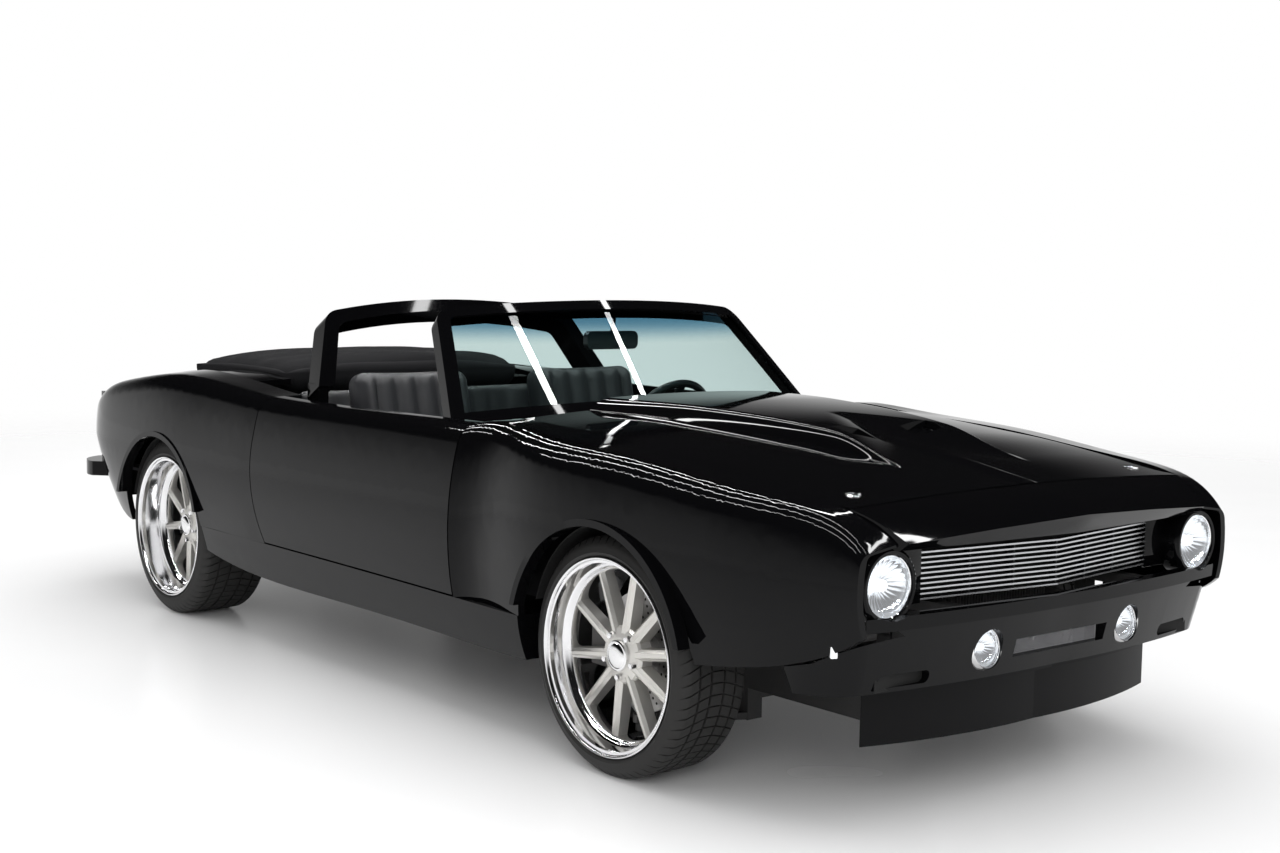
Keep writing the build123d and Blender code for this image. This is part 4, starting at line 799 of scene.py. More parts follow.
@dataclass
class RoundLamp:
    """A pair of round lamps: bucket, bright ring, fluted reflector, core and domed lens."""

    shop: Workshop
    name: str
    node: str
    ahead: float
    width: float
    height: float
    radius: float
    rim: float
    rim_finish: Surface
    lean: float = 0.0
    flutes: int = 28
    flute_depth: float = 0.022

    def build(self) -> None:
        """Makes both lamps."""
        r = self.radius
        self.put("bucket", self.bucket(), self.rim_finish, [])
        ring = [(r * 0.965, -0.002), (r * 0.965, 0.006), (r * 0.985, 0.0075), (r, 0.006), (r, -0.002)]
        self.put("ring", ring, BRIGHT_METAL, [])
        self.put("reflector", self.bowl(), REFLECTOR_WITH_PAINTED_SHINE, [], self.flutes)
        core = [(0.0001, -0.42), (0.20, -0.42), (0.20, -0.2), (0.17, -0.12), (0.1, -0.07), (0.0001, -0.06)]
        self.put("core", [(a * r, b * r) for a, b in core], CORE_WITH_PAINTED_GLOW, [])
        lens = [(0.985, 0.03), (0.86, 0.10), (0.6, 0.16), (0.3, 0.19), (0.0001, 0.2)]
        inner = [(a, b - 0.035) for a, b in reversed(lens)]
        self.put("lens", [(a * r, b * r) for a, b in lens + inner], LAMP_GLASS, [self.node])

    def bucket(self) -> list[Point]:
        """Section of the surround.

        Returns:
            (radius, depth) points.
        """
        r, out = self.radius, self.radius + self.rim
        return [(r, -0.05), (r, 0.008), (r + 0.002, 0.012), ((r + out) / 2, 0.013), (out - 0.003, 0.008),
                (out, 0.0), (out, -0.05)]

    def bowl(self) -> list[Point]:
        """Section of the reflector with its back.

        Returns:
            (radius, depth) points.
        """
        bowl = [(0.97, 0.0), (0.93, -0.12), (0.78, -0.3), (0.55, -0.42), (0.3, -0.49), (0.0001, -0.5)]
        back = [(0.0001, -0.56), (0.6, -0.5), (0.985, -0.2), (0.985, 0.0)]
        return [(a * self.radius, b * self.radius) for a, b in bowl + back]

    def put(
        self, part: str, section: Sequence[Point], finish: Surface | Glass, nodes: list[str], flutes: int = 0
    ) -> None:
        """Spins one section for both sides and adds it.

        Args:
            part: Last word of the piece's name.
            section: (radius, depth) points.
            finish: Its finish.
            nodes: Frame nodes that it stands for.
            flutes: Waves round the section, none where 0.
        """
        meshes = []
        for side in Side:
            mesh = spun(section, 112)
            if flutes:
                for vert in mesh.verts:
                    angle = math.atan2(vert.co.z, vert.co.x)
                    reach = math.hypot(vert.co.x, vert.co.z) / self.radius
                    share = min(reach, 0.9 - min(reach, 0.9) * 0.6)
                    vert.co.y += self.flute_depth * self.radius * math.cos(flutes * angle) * share
            aim = Matrix.Rotation(-math.pi / 2, 4, "Z")
            tilt = Matrix.Rotation(-self.lean, 4, "Y")
            spot = (self.shop.station(self.ahead), side.value * self.width, self.height)
            meshes.append(moved(mesh, Matrix.Translation(spot) @ tilt @ aim))
        self.shop.group(f"{self.name}_{part}", meshes, finish, nodes)


@dataclass
class Grille:
    """Thin bright-edged blades that peak on the centre line, with a dark back plate as painted shade behind them,
    and lamp panels in black paint.
    """

    shop: Workshop
    half: float = 0.470
    peak: float = 0.812
    end: float = 0.752
    bars: int = 10
    pitch: float = 0.013
    foot: float = 0.560
    depth: float = 0.014
    bar_height: float = 0.0048
    edge_depth: float = 0.0022
    panel_end: float = 0.718
    mouth_foot: float = 0.552
    mouth_top: float = 0.706
    duct: tuple[float, float, float] = (0.775, 0.470, 0.650)
    marker: tuple[float, float, float] = (0.752, 0.770, 0.468)
    marker_turn: float = math.radians(31.0)

    def build(self) -> None:
        """Makes blades, bright edges, the dark back plates of painted shade and the lamp panels."""
        blades, edges = [], []
        for index in range(self.bars):
            z = self.foot + index * self.pitch
            for side in Side:
                blades.append(self.bar(side, 0.002, self.depth, z, self.bar_height))
                edges.append(self.bar(side, 0.0, self.edge_depth, z + 0.0003, self.bar_height - 0.0006))
        # Dark plates behind the blades: painted shade of the opening.
        back = [self.bar(side, 0.035, 0.006, self.mouth_foot, self.mouth_top - self.mouth_foot) for side in Side]
        ribs = []
        for width in (-0.30, -0.15, 0.0, 0.15, 0.30):
            x = self.shop.station(self.line(width))
            low, high = (x - 0.03, width - 0.003, self.foot), (x - 0.007, width + 0.003, self.foot + 0.122)
            ribs.append(block(low, high, 0.001, 1))
        panels = []
        for side in Side:
            x = self.shop.station(self.end)
            inner, outer = sorted((side.value * (self.half - 0.002), side.value * self.panel_end))
            panels.append(block((x - 0.012, inner, self.mouth_foot), (x, outer, self.mouth_top + 0.04), 0.003, 2))
        for name, parts, finish, nodes in (
            ("grille_edges", edges, BAR_METAL, ["grille"]),
            ("grille_blades", blades + ribs, DARK_BLADE, []),
            ("grille_back_shade", back + self.duct_shade_plates(), LINING_AND_PAINTED_SHADE, []),
            ("lamp_panels", panels, BLACK_PAINT, []),
        ):
            self.shop.group(name, parts, finish, nodes, 30.0)
        self.mesh_screen()
        self.markers()

    def duct_shade_plates(self) -> list[bmesh.types.BMesh]:
        """Dark plates behind the brake ducts of the lower apron, painted shade of the openings.

        Returns:
            One plate a side.
        """
        x = self.shop.station(self.duct[0])
        spans = [sorted((side.value * self.duct[1], side.value * self.duct[2])) for side in Side]
        return [block((x - 0.004, low, 0.354), (x, high, 0.404), 0.001, 1) for low, high in spans]

    def markers(self) -> None:
        """Small side lamps on the corners of the lower apron, bright from the reflector finish's glow, a painted
        shine.
        """
        meshes = []
        for side in Side:
            spot = (self.shop.station(self.marker[0]), side.value * self.marker[1], self.marker[2])
            turn = Matrix.Rotation(side.value * self.marker_turn, 4, "Z")
            lens = block((-0.012, -0.009, -0.017), (0.004, 0.009, 0.017), 0.003, 3)
            meshes.append(moved(lens, Matrix.Translation(spot) @ turn))
        self.shop.group("side_markers", meshes, REFLECTOR_WITH_PAINTED_SHINE, crease=40.0)

    def line(self, width: float) -> float:
        """Station of the blades' front at a width."""
        return self.peak - (self.peak - self.end) * abs(width) / self.half

    def bar(self, side: Side, behind: float, depth: float, low: float, height: float) -> bmesh.types.BMesh:
        """Half of a blade from the centre line to its end.

        Args:
            side: Side of the car.
            behind: Distance behind the front line.
            depth: Length of the section.
            low: Height of its foot.
            height: Height of the section.

        Returns:
            The half blade.
        """
        mesh = bmesh.new()
        bmesh.ops.create_cube(mesh, size=1.0)
        for vert in mesh.verts:
            width = self.half * side.value if vert.co.y > 0 else 0.0
            x = self.line(width) - behind - (depth if vert.co.x < 0 else 0.0)
            vert.co = Vector((self.shop.station(x), width, low + (height if vert.co.z > 0 else 0.0)))
        bmesh.ops.recalc_face_normals(mesh, faces=mesh.faces)
        return mesh

    def mesh_screen(self) -> None:
        """Woven bright screen in the lower middle opening."""
        low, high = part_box("valance_mesh")
        mesh = bmesh.new()
        bmesh.ops.create_grid(mesh, x_segments=68, y_segments=9, size=0.5)
        bmesh.ops.poke(mesh, faces=mesh.faces)
        runs = [(edge, edge.verts[0].co - edge.verts[1].co) for edge in mesh.edges]
        inner = [edge for edge, run in runs if abs(run.x * run.y) < 1e-9 and len(edge.link_faces) == 2]
        bmesh.ops.dissolve_edges(mesh, edges=inner, use_verts=False)
        size = high - low
        stand = Matrix.Rotation(math.pi / 2, 4, "Z") @ Matrix.Rotation(math.pi / 2, 4, "X")
        shape = Matrix.Translation((low + high) / 2) @ stand @ Matrix.Diagonal((size.y, size.z, 1.0, 1.0))
        moved(mesh, shape)
        bmesh.ops.wireframe(
            mesh, faces=mesh.faces[:], thickness=0.0012, use_replace=True, use_boundary=True, use_even_offset=True
        )
        self.shop.add("lower_screen", mesh, "body", MESH_WIRE, ["valance_mesh"])


@dataclass
class RoadWheel:
    """One wheel: polished rim, satin spokes, cap, lugs, brake disc and tyre, all sized from its frame node."""

    shop: Workshop
    place: str
    dish: float
    spokes: int = 10
    turn: float = math.radians(9.0)
    lugs: int = 5
    lug_circle: float = 0.0603
    lip_r: float = 0.271
    seat_r: float = 0.254
    barrel_r: float = 0.235
    hub_r: float = 0.080
    cap_r: float = 0.042
    spoke_width: float = 0.030
    spoke_depth: float = 0.040
    disc_r: float = 0.165
    pitches: int = 64
    groove_depth: float = 0.0065

    def build(self) -> None:
        """Makes the wheel's pieces about the origin and moves them to the hub."""
        low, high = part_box("tyre_" + self.place)
        self.tyre_r = (high.z - low.z) / 2
        self.width = high.y - low.y
        side = Side.LEFT if self.place.endswith("left") else Side.RIGHT
        centre = (low + high) / 2
        self.hub = Matrix.Translation(centre) @ Matrix.Rotation(0.0 if side is Side.LEFT else math.pi, 4, "Z")
        self.face = self.width / 2 - self.dish
        node = "wheel_" + self.place
        self.put("rim", self.rim(), LIP_METAL, [node], 40.0)
        self.put("spokes", self.spider(), SPOKE_METAL, [], 24.0)
        self.put("cap", self.cap(), BRIGHT_METAL, [], 40.0)
        self.put("lugs", self.nuts(), BRIGHT_METAL, [], 30.0)
        self.put("disc", self.disc(), DISC_STEEL, [], 30.0)
        self.put("disc_hole_shade", self.disc_hole_shade(), LINING_AND_PAINTED_SHADE, [], 30.0)
        self.put("tread", self.tyre(), RUBBER, ["tyre_" + self.place], 34.0)

    def put(
        self, name: str, mesh: bmesh.types.BMesh, finish: Surface, nodes: Sequence[str], crease: float
    ) -> None:
        """Moves one piece to the hub and adds it.

        Args:
            name: First word of the piece's name.
            mesh: Its shape about the origin.
            finish: Its finish.
            nodes: Frame nodes that it stands for.
            crease: Angle above which an edge stays sharp.
        """
        moved(mesh, self.hub)
        smooth(mesh, crease)
        self.shop.add(f"{name}_{self.place}", mesh, "wheel_" + self.place, finish, nodes)

    def rim(self) -> bmesh.types.BMesh:
        """Closed ring with a rolled bead, a stepped outer lip and a plain back.

        Returns:
            The rim's mesh.
        """
        out = self.width / 2
        lip, seat, barrel = self.lip_r, self.seat_r, self.barrel_r
        back = -out
        profile = [
            (lip - 0.001, out - 0.007), (lip, out - 0.004), (lip - 0.001, out - 0.0012), (lip - 0.003, out),
            (lip - 0.006, out - 0.0006), (lip - 0.008, out - 0.003), (lip - 0.009, out - 0.007),
            (lip - 0.012, out - 0.012), (lip - 0.017, out - 0.022), (lip - 0.021, self.face + 0.022),
            (lip - 0.023, self.face + 0.016), (lip - 0.027, self.face + 0.014), (barrel + 0.006, self.face + 0.012),
            (barrel + 0.004, self.face + 0.006), (barrel, self.face + 0.003), (barrel - 0.004, self.face - 0.002),
            (barrel - 0.005, self.face - 0.04), (barrel, back + 0.03), (lip - 0.012, back + 0.004),
            (lip - 0.004, back), (lip, back + 0.006), (seat, back + 0.010), (seat - 0.002, 0.0), (seat, out - 0.010),
        ]
        return spun(profile, 128)

    def spider(self) -> bmesh.types.BMesh:
        """Hub and tapered spokes with bevelled faces.

        Returns:
            Hub and spokes in one mesh.
        """
        meshes = [spun(self.hub_section(), 60)]
        start, end = self.hub_r - 0.024, self.barrel_r + 0.004
        for index in range(self.spokes):
            spoke = bmesh.new()
            bmesh.ops.create_cube(spoke, size=1.0)
            for vert in spoke.verts:
                outer = vert.co.x > 0
                width = self.spoke_width * (0.86 if outer else 1.04)
                front = self.face - 0.001 if outer else self.face + 0.007
                vert.co = Vector((
                    end if outer else start,
                    front if vert.co.y > 0 else self.face - self.spoke_depth,
                    math.copysign(width / 2, vert.co.z) * (1.0 if vert.co.y > 0 else 1.12),
                ))
            ridge = [e for e in spoke.edges if all(v.co.y > self.face - 0.01 for v in e.verts)]
            ridge = [e for e in ridge if abs(e.verts[0].co.x - e.verts[1].co.x) > 0.05]
            bmesh.ops.bevel(
                spoke, geom=ridge, offset=0.0085, affect="EDGES", segments=1, profile=0.5, material=-1
            )
            groove = [f for f in spoke.faces if f.normal.y > 0.9]
            bmesh.ops.inset_region(spoke, faces=groove, thickness=0.0018, depth=-0.0012)
            meshes.append(moved(spoke, Matrix.Rotation(self.turn + FULL_TURN * index / self.spokes, 4, "Y")))
        return joined(meshes)

    def hub_section(self) -> list[Point]:
        """Section of the hub with a stepped face.

        Returns:
            (radius, width) points.
        """
        face, back = self.face, self.face - self.spoke_depth
        return [
            (0.0001, back), (self.hub_r, back), (self.hub_r, face - 0.006), (self.hub_r - 0.006, face + 0.002),
            (self.hub_r - 0.03, face + 0.009), (self.cap_r + 0.004, face + 0.010), (0.0001, face + 0.010),
        ]

    def cap(self) -> bmesh.types.BMesh:
        """Domed centre cap on a step.

        Returns:
            The cap's mesh.
        """
        foot, r = self.face + 0.008, self.cap_r
        section = [(r, foot), (r, foot + 0.012), (r - 0.003, foot + 0.014), (r - 0.007, foot + 0.014)]
        arc = [(r - 0.008, 0.0150), (r * 0.72, 0.0185), (r * 0.5, 0.0205), (r * 0.25, 0.0216), (0.0001, 0.022)]
        return spun(section + [(radius, foot + rise) for radius, rise in arc] + [(0.0001, foot)], 60)

    def nuts(self) -> bmesh.types.BMesh:
        """Six-sided lug nuts with bevelled crowns.

        Returns:
            All nuts in one mesh.
        """
        meshes = []
        for index in range(self.lugs):
            angle = FULL_TURN * (index + 0.5) / self.lugs
            nut = bmesh.new()
            bmesh.ops.create_cone(
                nut, cap_ends=True, segments=6, radius1=0.0105, radius2=0.0088, depth=0.018
            )
            crown = [e for e in nut.edges if all(v.co.z > 0 for v in e.verts)]
            bmesh.ops.bevel(nut, geom=crown, offset=0.002, affect="EDGES", segments=2, profile=0.5, material=-1)
            moved(nut, Matrix.Rotation(-math.pi / 2, 4, "X"))
            spot = (self.lug_circle * math.sin(angle), self.face + 0.012, self.lug_circle * math.cos(angle))
            meshes.append(moved(nut, Matrix.Translation(spot)))
        return joined(meshes)

    def disc(self) -> bmesh.types.BMesh:
        """Vented brake disc with its hat, behind the spokes.

        Returns:
            The disc's mesh.
        """
        near = self.face - self.spoke_depth - 0.03
        hat = self.hub_r - 0.004
        section = [
            (hat - 0.02, near + 0.03), (hat, near + 0.03), (hat, near), (self.disc_r, near),
            (self.disc_r, near - 0.010), (self.disc_r - 0.02, near - 0.010), (self.disc_r - 0.02, near - 0.018),
            (self.disc_r, near - 0.018), (self.disc_r, near - 0.028), (hat - 0.02, near - 0.028),
        ]
        return spun(section, 96)

    def disc_hole_shade(self) -> bmesh.types.BMesh:
        """Rows of thin dark discs on the disc's face, painted shade where the drilled holes are.

        Returns:
            All dark discs in one mesh.
        """
        near = self.face - self.spoke_depth - 0.03
        meshes = []
        for row, radius in enumerate((0.095, 0.112, 0.129, 0.146)):
            for index in range(24):
                angle = FULL_TURN * (index + row / 4) / 24
                hole = bmesh.new()
                bmesh.ops.create_cone(hole, cap_ends=True, segments=10, radius1=0.004, radius2=0.004, depth=0.0006)
                moved(hole, Matrix.Rotation(math.pi / 2, 4, "X"))
                spot = (radius * math.sin(angle), near, radius * math.cos(angle))
                meshes.append(moved(hole, Matrix.Translation(spot)))
        return joined(meshes)

    def tyre_line(self) -> list[tuple[float, float, float]]:
        """Closed section of the tyre as (radius, width, groove share) points, the share telling where sipes cut.

        Returns:
            Points from the outer bead round the tread to the inner bead.
        """
        r, half, seat = self.tyre_r, self.width / 2, self.seat_r
        bead = half - 0.0105
        rise = r - self.lip_r
        wall = [
            (seat + 0.0004, bead, 0.0), (self.lip_r + 0.0012, bead, 0.0), (self.lip_r + 0.003, half - 0.0045, 0.0),
            (self.lip_r + 0.008, half - 0.0015, 0.0), (self.lip_r + 0.012, half - 0.0002, 0.0),
            (self.lip_r + 0.014, half - 0.0016, 0.0), (self.lip_r + rise * 0.45, half - 0.0034, 0.0),
            (self.lip_r + rise * 0.62, half - 0.0085, 0.0), (r - 0.012, half - 0.0175, 0.35),
            (r - 0.006, half - 0.024, 0.8),
        ]
        tread = half - 0.034
        band = [(r - 0.0026, half - 0.029, 1.0), (r - 0.001, tread, 1.0)]
        share = (0.74, 0.66, 0.30, 0.21)
        depth = self.groove_depth
        for outer, inner in zip(share[::2], share[1::2]):
            band += [
                (r - 0.0004, tread * outer, 1.0), (r - depth, tread * outer - 0.0012, 0.0),
                (r - depth, tread * inner + 0.0012, 0.0), (r, tread * inner, 1.0),
            ]
        out = wall + band
        return out + [(a, -b, c) for a, b, c in reversed(out)]

    def tyre(self) -> bmesh.types.BMesh:
        """Closed tyre: one pitch of tread and wall, with slanted sipes, repeated round the wheel.

        Returns:
            The tyre's mesh.
        """
        line = self.tyre_line()
        columns = (0.0, 0.02, 0.13, 0.15, 0.55, 1.0)
        mesh = bmesh.new()
        bmesh.ops.create_grid(mesh, x_segments=len(columns) - 1, y_segments=len(line), size=1.0)
        pitch = FULL_TURN / self.pitches
        tread = self.width / 2
        for vert in mesh.verts:
            column = round((vert.co.x + 1) / 2 * (len(columns) - 1))
            row = round((vert.co.y + 1) / 2 * len(line)) % len(line)
            radius, width, share = line[row]
            if column in (1, 2):
                radius -= self.groove_depth * 0.8 * share
            slant = 1.35 * (1.0 - (abs(width) / tread) ** 1.6)
            angle = pitch * (columns[column] + slant)
            vert.co = Vector((radius * math.sin(angle), width, radius * math.cos(angle)))
        bmesh.ops.spin(
            mesh, geom=mesh.verts[:] + mesh.edges[:] + mesh.faces[:], cent=(0, 0, 0), axis=(0, 1, 0),
            angle=FULL_TURN * (self.pitches - 1) / self.pitches, steps=self.pitches - 1, use_duplicate=True,
        )
        bmesh.ops.remove_doubles(mesh, verts=mesh.verts, dist=1e-5)
        bmesh.ops.recalc_face_normals(mesh, faces=mesh.faces)
        return mesh


def rounded(vert: Vector, half: Vector, radius: float) -> Vector:
    """Point of a box of half sizes, pushed on to rounded edges.

    Args:
        vert: Point of the plain box.
        half: Half sizes of the box.
        radius: Radius of its edges.

    Returns:
        The moved point.
    """
    core = Vector(math.copysign(min(abs(a), h - radius), a) for a, h in zip(vert, half))
    away = vert - core
    return core + away.normalized() * radius if away.length > 1e-9 else vert


@dataclass
class Cabin:
    """Pleated seats, the folded top under its boot and the door cards."""

    shop: Workshop
    seat_width: float = 0.386
    seat_half: float = 0.238
    pleats: int = 4
    pleat_depth: float = 0.014
    lean: float = math.radians(13.0)

    def build(self) -> None:
        """Makes every trimmed piece."""
        low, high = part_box("front_seats")
        front = high.x
        cushions, backs = [], []
        for side in Side:
            y = side.value * self.seat_width
            cushions.append(self.pad((0.235, self.seat_half - 0.004, 0.085), Vector((front - 0.24, y, 0.405)), 0.0))
            spot = Vector((front - 0.535, y, 0.705))
            backs.append(self.pad((0.285, self.seat_half - 0.004, 0.058), spot, math.pi / 2 - self.lean))
        self.soft("seat_cushions", cushions, ["front_seats"])
        self.soft("seat_backs", backs, [])
        low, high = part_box("rear_seat")
        bench = self.pad((0.155, high.y - 0.006, 0.052), Vector((high.x - 0.16, 0.0, 0.485)), 0.0, 10)
        rest = self.pad((0.185, high.y - 0.006, 0.036), Vector((low.x + 0.10, 0.0, 0.70)), math.pi / 2 - 0.21, 10)
        self.soft("rear_bench", [bench], ["rear_seat"])
        self.soft("rear_backrest", [rest], [])
        self.boot()
        for side in Side:
            self.door_card(side)

    def soft(self, name: str, meshes: list[bmesh.types.BMesh], nodes: list[str]) -> None:
        """Adds a padded piece in seat leather."""
        self.shop.group(name, meshes, SEAT_HIDE, nodes, 60.0)

    def pad(
        self, size: tuple[float, float, float], centre: Vector, tilt: float, pleats: int | None = None
    ) -> bmesh.types.BMesh:
        """A crowned cushion with sewn channels along it.

        Args:
            size: Half length, half width and half thickness.
            centre: Place of its middle.
            tilt: Turn about the car's width, which stands a back up.
            pleats: Channels between its bolsters.

        Returns:
            The cushion's mesh.
        """
        mesh = bmesh.new()
        bmesh.ops.create_cube(mesh, size=2.0)
        bmesh.ops.subdivide_edges(mesh, edges=mesh.edges[:], cuts=39, use_grid_fill=True)
        half = Vector(size)
        count = pleats or self.pleats
        bolster = 0.72
        for vert in mesh.verts:
            u, v, w = vert.co
            point = rounded(Vector((u * half.x, v * half.y, w * half.z)), half, half.z * 0.85)
            if w > 0:
                crown = 0.012 * (1 - u * u) * (1 - v * v)
                wave = abs(math.cos(math.pi * count * (v / bolster + 1) / 2)) if abs(v) < bolster else 0.0
                channel = self.pleat_depth * wave**4 * (1 - u**8)
                edge = 0.010 * math.exp(-(((abs(v) - 0.86) / 0.1) ** 2)) * (1 - u**8)
                point.z += crown - channel + edge
            pull = 1 - 0.02 * math.cos(math.pi * v / 2) * (abs(u) > 0.98)
            vert.co = Vector((point.x * pull, point.y, point.z))
        turn = Matrix.Rotation(tilt, 4, "Y")
        return moved(mesh, Matrix.Translation(centre) @ turn)

    def boot(self) -> None:
        """Canvas boot stretched over the folded top, with soft folds across it."""
        low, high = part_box("top_boot")
        mesh = bmesh.new()
        bmesh.ops.create_cube(mesh, size=2.0)
        bmesh.ops.subdivide_edges(mesh, edges=mesh.edges[:], cuts=47, use_grid_fill=True)
        half = (high - low) / 2
        centre = (high + low) / 2
        for vert in mesh.verts:
            u, v, w = vert.co
            point = rounded(Vector((u * half.x, v * half.y, w * half.z)), half, half.z * 0.9)
            if w > 0:
                ends = 0.045 * max(-u, 0.0) ** 2 + 0.012 * max(u, 0.0) ** 4
                sides = 0.034 * abs(v) ** 3
                fold = 0.006 * math.sin(9 * u + 2.5 * v * v) + 0.004 * math.sin(17 * u - 5 * v)
                point.z -= (ends + sides + 0.008 - fold * (1 - v**6)) * (w if w < 1 else 1.0)
            vert.co = centre + point
        smooth(mesh, 60.0)
        piece = self.shop.add("boot_cover", mesh, "body", CANVAS, ["top_boot"])

    def door_card(self, side: Side) -> None:
        """Pleated inner panel of a door with its arm rest.

        Args:
            side: Side of the car.
        """
        name = "door_left" if side is Side.LEFT else "door_right"
        low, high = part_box(name)
        inner = 0.787
        span = ((low.x + high.x) / 2 + 0.01, (high.x - low.x) / 2 - 0.14)
        mesh = bmesh.new()
        bmesh.ops.create_cube(mesh, size=2.0)
        bmesh.ops.subdivide_edges(mesh, edges=mesh.edges[:], cuts=31, use_grid_fill=True)
        half = Vector((span[1], 0.007, 0.185))
        for vert in mesh.verts:
            u, v, w = vert.co
            point = rounded(Vector((u * half.x, v * half.y, w * half.z)), half, 0.006)
            if v < 0:
                point.y += 0.003 * abs(math.cos(math.pi * 12 * u)) ** 6 * (1 - w**8)
            vert.co = Vector((span[0] + point.x, side.value * (inner - 0.008 + point.y), 0.63 + point.z))
        rest_low = (span[0] - 0.22, min(side.value * (inner - 0.062), side.value * inner), 0.60)
        rest_high = (span[0] + 0.16, max(side.value * (inner - 0.062), side.value * inner), 0.65)
        whole = joined([mesh, block(rest_low, rest_high, 0.018, 4)])
        bmesh.ops.recalc_face_normals(whole, faces=whole.faces)
        smooth(whole, 50.0)
        piece = self.shop.add(name + "_card", whole, name, TRIM)


@dataclass
class Engine:
    """Eight-cylinder engine in a vee, with its covers, intake, air cleaner, pulleys and the radiator ahead of it."""

    shop: Workshop
    bank: float = math.radians(42.0)
    head_at: tuple[float, float, float] = (-0.05, 0.155, 0.645)
    cleaner_at: tuple[float, float, float] = (-0.06, 0.0, 0.765)
    cleaner_r: float = 0.17
    pulleys: tuple[tuple[float, float, float], ...] = ((0.0, 0.44, 0.085), (0.0, 0.62, 0.065), (0.17, 0.58, 0.05))

    def build(self) -> None:
        """Makes the iron parts, the black covers, the drive and the radiator."""
        at = self.shop.station
        iron = [block((at(-0.37), -0.16, 0.32), (at(0.26), 0.16, 0.60), 0.02)]
        iron.append(block((at(-0.30), -0.09, 0.60), (at(0.20), 0.09, 0.735), 0.018))
        covers = []
        for side in Side:
            x, y, z = self.head_at
            lean = Matrix.Translation((at(x), side.value * y, z)) @ Matrix.Rotation(-side.value * self.bank, 4, "X")
            iron.append(moved(block((-0.27, -0.07, -0.09), (0.27, 0.07, 0.05), 0.008), lean))
            covers.append(moved(block((-0.255, -0.058, 0.051), (0.255, 0.058, 0.105), 0.014, 4), lean))
            for index in range(7):
                rib = -0.045 + 0.015 * index
                covers.append(moved(block((-0.23, rib - 0.003, 0.10), (0.23, rib + 0.003, 0.109), 0.0015, 1), lean))
        self.shop.group("engine_iron", iron, CAST_IRON, ["engine_block"])
        self.shop.group("engine_covers", covers, SATIN_BLACK)
        self.shop.group("air_cleaner", [self.cleaner()], BRIGHT_METAL)
        self.shop.group("engine_pulleys", [self.pulley(*row) for row in self.pulleys], DISC_STEEL)
        tanks = [block((at(0.475), -0.33, low), (at(0.53), 0.33, low + 0.05), 0.012) for low in (0.37, 0.655)]
        self.shop.group("radiator_tanks", tanks, CHASSIS_PAINT)
        rows = self.steps(-0.325, 0.322, 54)
        fins = [block((at(0.482), y, 0.418), (at(0.523), y + 0.003, 0.657), 0.0004, 1) for y in rows]
        self.shop.group("radiator_fins", fins, CAST_IRON)

    def steps(self, low: float, high: float, count: int) -> list[float]:
        """Evenly spaced places."""
        return [low + (high - low) * index / (count - 1) for index in range(count)]

    def cleaner(self) -> bmesh.types.BMesh:
        """Round air cleaner with a ribbed lid and a wing nut's boss.

        Returns:
            The cleaner's mesh.
        """
        r = self.cleaner_r
        section = [
            (0.0001, -0.03), (r * 0.4, -0.03), (r * 0.42, 0.0), (r, 0.0), (r, 0.004), (r - 0.012, 0.006),
            (r - 0.012, 0.036), (r, 0.038), (r, 0.043), (r * 0.9, 0.047), (r * 0.85, 0.0455), (r * 0.5, 0.0475),
            (r * 0.46, 0.046), (0.02, 0.048), (0.012, 0.056), (0.0001, 0.057),
        ]
        x, y, z = self.cleaner_at
        stand = Matrix.Rotation(math.pi / 2, 4, "X")
        return moved(spun(section, 80), Matrix.Translation((self.shop.station(x), y, z)) @ stand)

    def pulley(self, width: float, height: float, radius: float) -> bmesh.types.BMesh:
        """Grooved pulley on the engine's nose.

        Args:
            width: Place across the car.
            height: Height of its axis.
            radius: Outer radius.

        Returns:
            The pulley's mesh.
        """
        section = [(0.0001, 0.0), (radius, 0.0), (radius - 0.008, 0.008), (radius - 0.008, 0.012), (radius, 0.02),
                   (radius - 0.01, 0.022), (0.02, 0.02), (0.016, 0.03), (0.0001, 0.03)]
        aim = Matrix.Rotation(-math.pi / 2, 4, "Z")
        spot = (self.shop.station(0.262), width, height)
        return moved(spun(section, 56), Matrix.Translation(spot) @ aim)


@dataclass
class Dials:
    """Instruments and a glove-box lid on the dashboard's face."""

    shop: Workshop
    face: float = -1.0005
    rows: tuple[tuple[float, float, float], ...] = (
        (0.30, 0.775, 0.058), (0.46, 0.775, 0.058), (0.07, 0.76, 0.03), (0.0, 0.76, 0.03), (-0.07, 0.76, 0.03),
    )

    def build(self) -> None:
        """Makes bezels, dial faces, needles and the lid."""
        rings, faces, needles = [], [], []
        for width, height, r in self.rows:
            spot = Matrix.Translation((self.shop.station(self.face), width, height))
            aim = spot @ Matrix.Rotation(math.pi / 2, 4, "Z")
            inner = r - 0.006
            bezel = [(r, -0.004), (r, 0.008), (r - 0.003, 0.010), (inner, 0.008), (inner, -0.004)]
            rings.append(moved(spun(bezel, 56), aim))
            faces.append(moved(spun([(0.0001, -0.004), (inner, -0.004), (inner, 0.002), (0.0001, 0.002)], 48), aim))
            for index in range(11):
                tick = block((-0.0007, 0.002, r * 0.66), (0.0007, 0.0028, r * 0.82), 0.0002, 1)
                needles.append(moved(tick, aim @ Matrix.Rotation(math.radians(-125 + 25 * index), 4, "Y")))
            hand = block((-0.001, 0.003, -0.006), (0.001, 0.0042, r * 0.62), 0.0004, 1)
            needles.append(moved(hand, aim @ Matrix.Rotation(math.radians(-118), 4, "Y")))
        x = self.shop.station(self.face)
        lid = block((x - 0.004, -0.56, 0.68), (x + 0.004, -0.20, 0.80), 0.0035, 3)
        # The dial marks take the glowing core finish, so their glow is a painted highlight on white marks.
        for name, meshes, finish in (
            ("dial_bezels", rings, BRIGHT_METAL), ("dial_faces", faces, DARK_BLADE),
            ("dial_marks", needles, CORE_WITH_PAINTED_GLOW), ("glove_box_lid", [lid], TRIM),
        ):
            self.shop.group(name, meshes, finish)


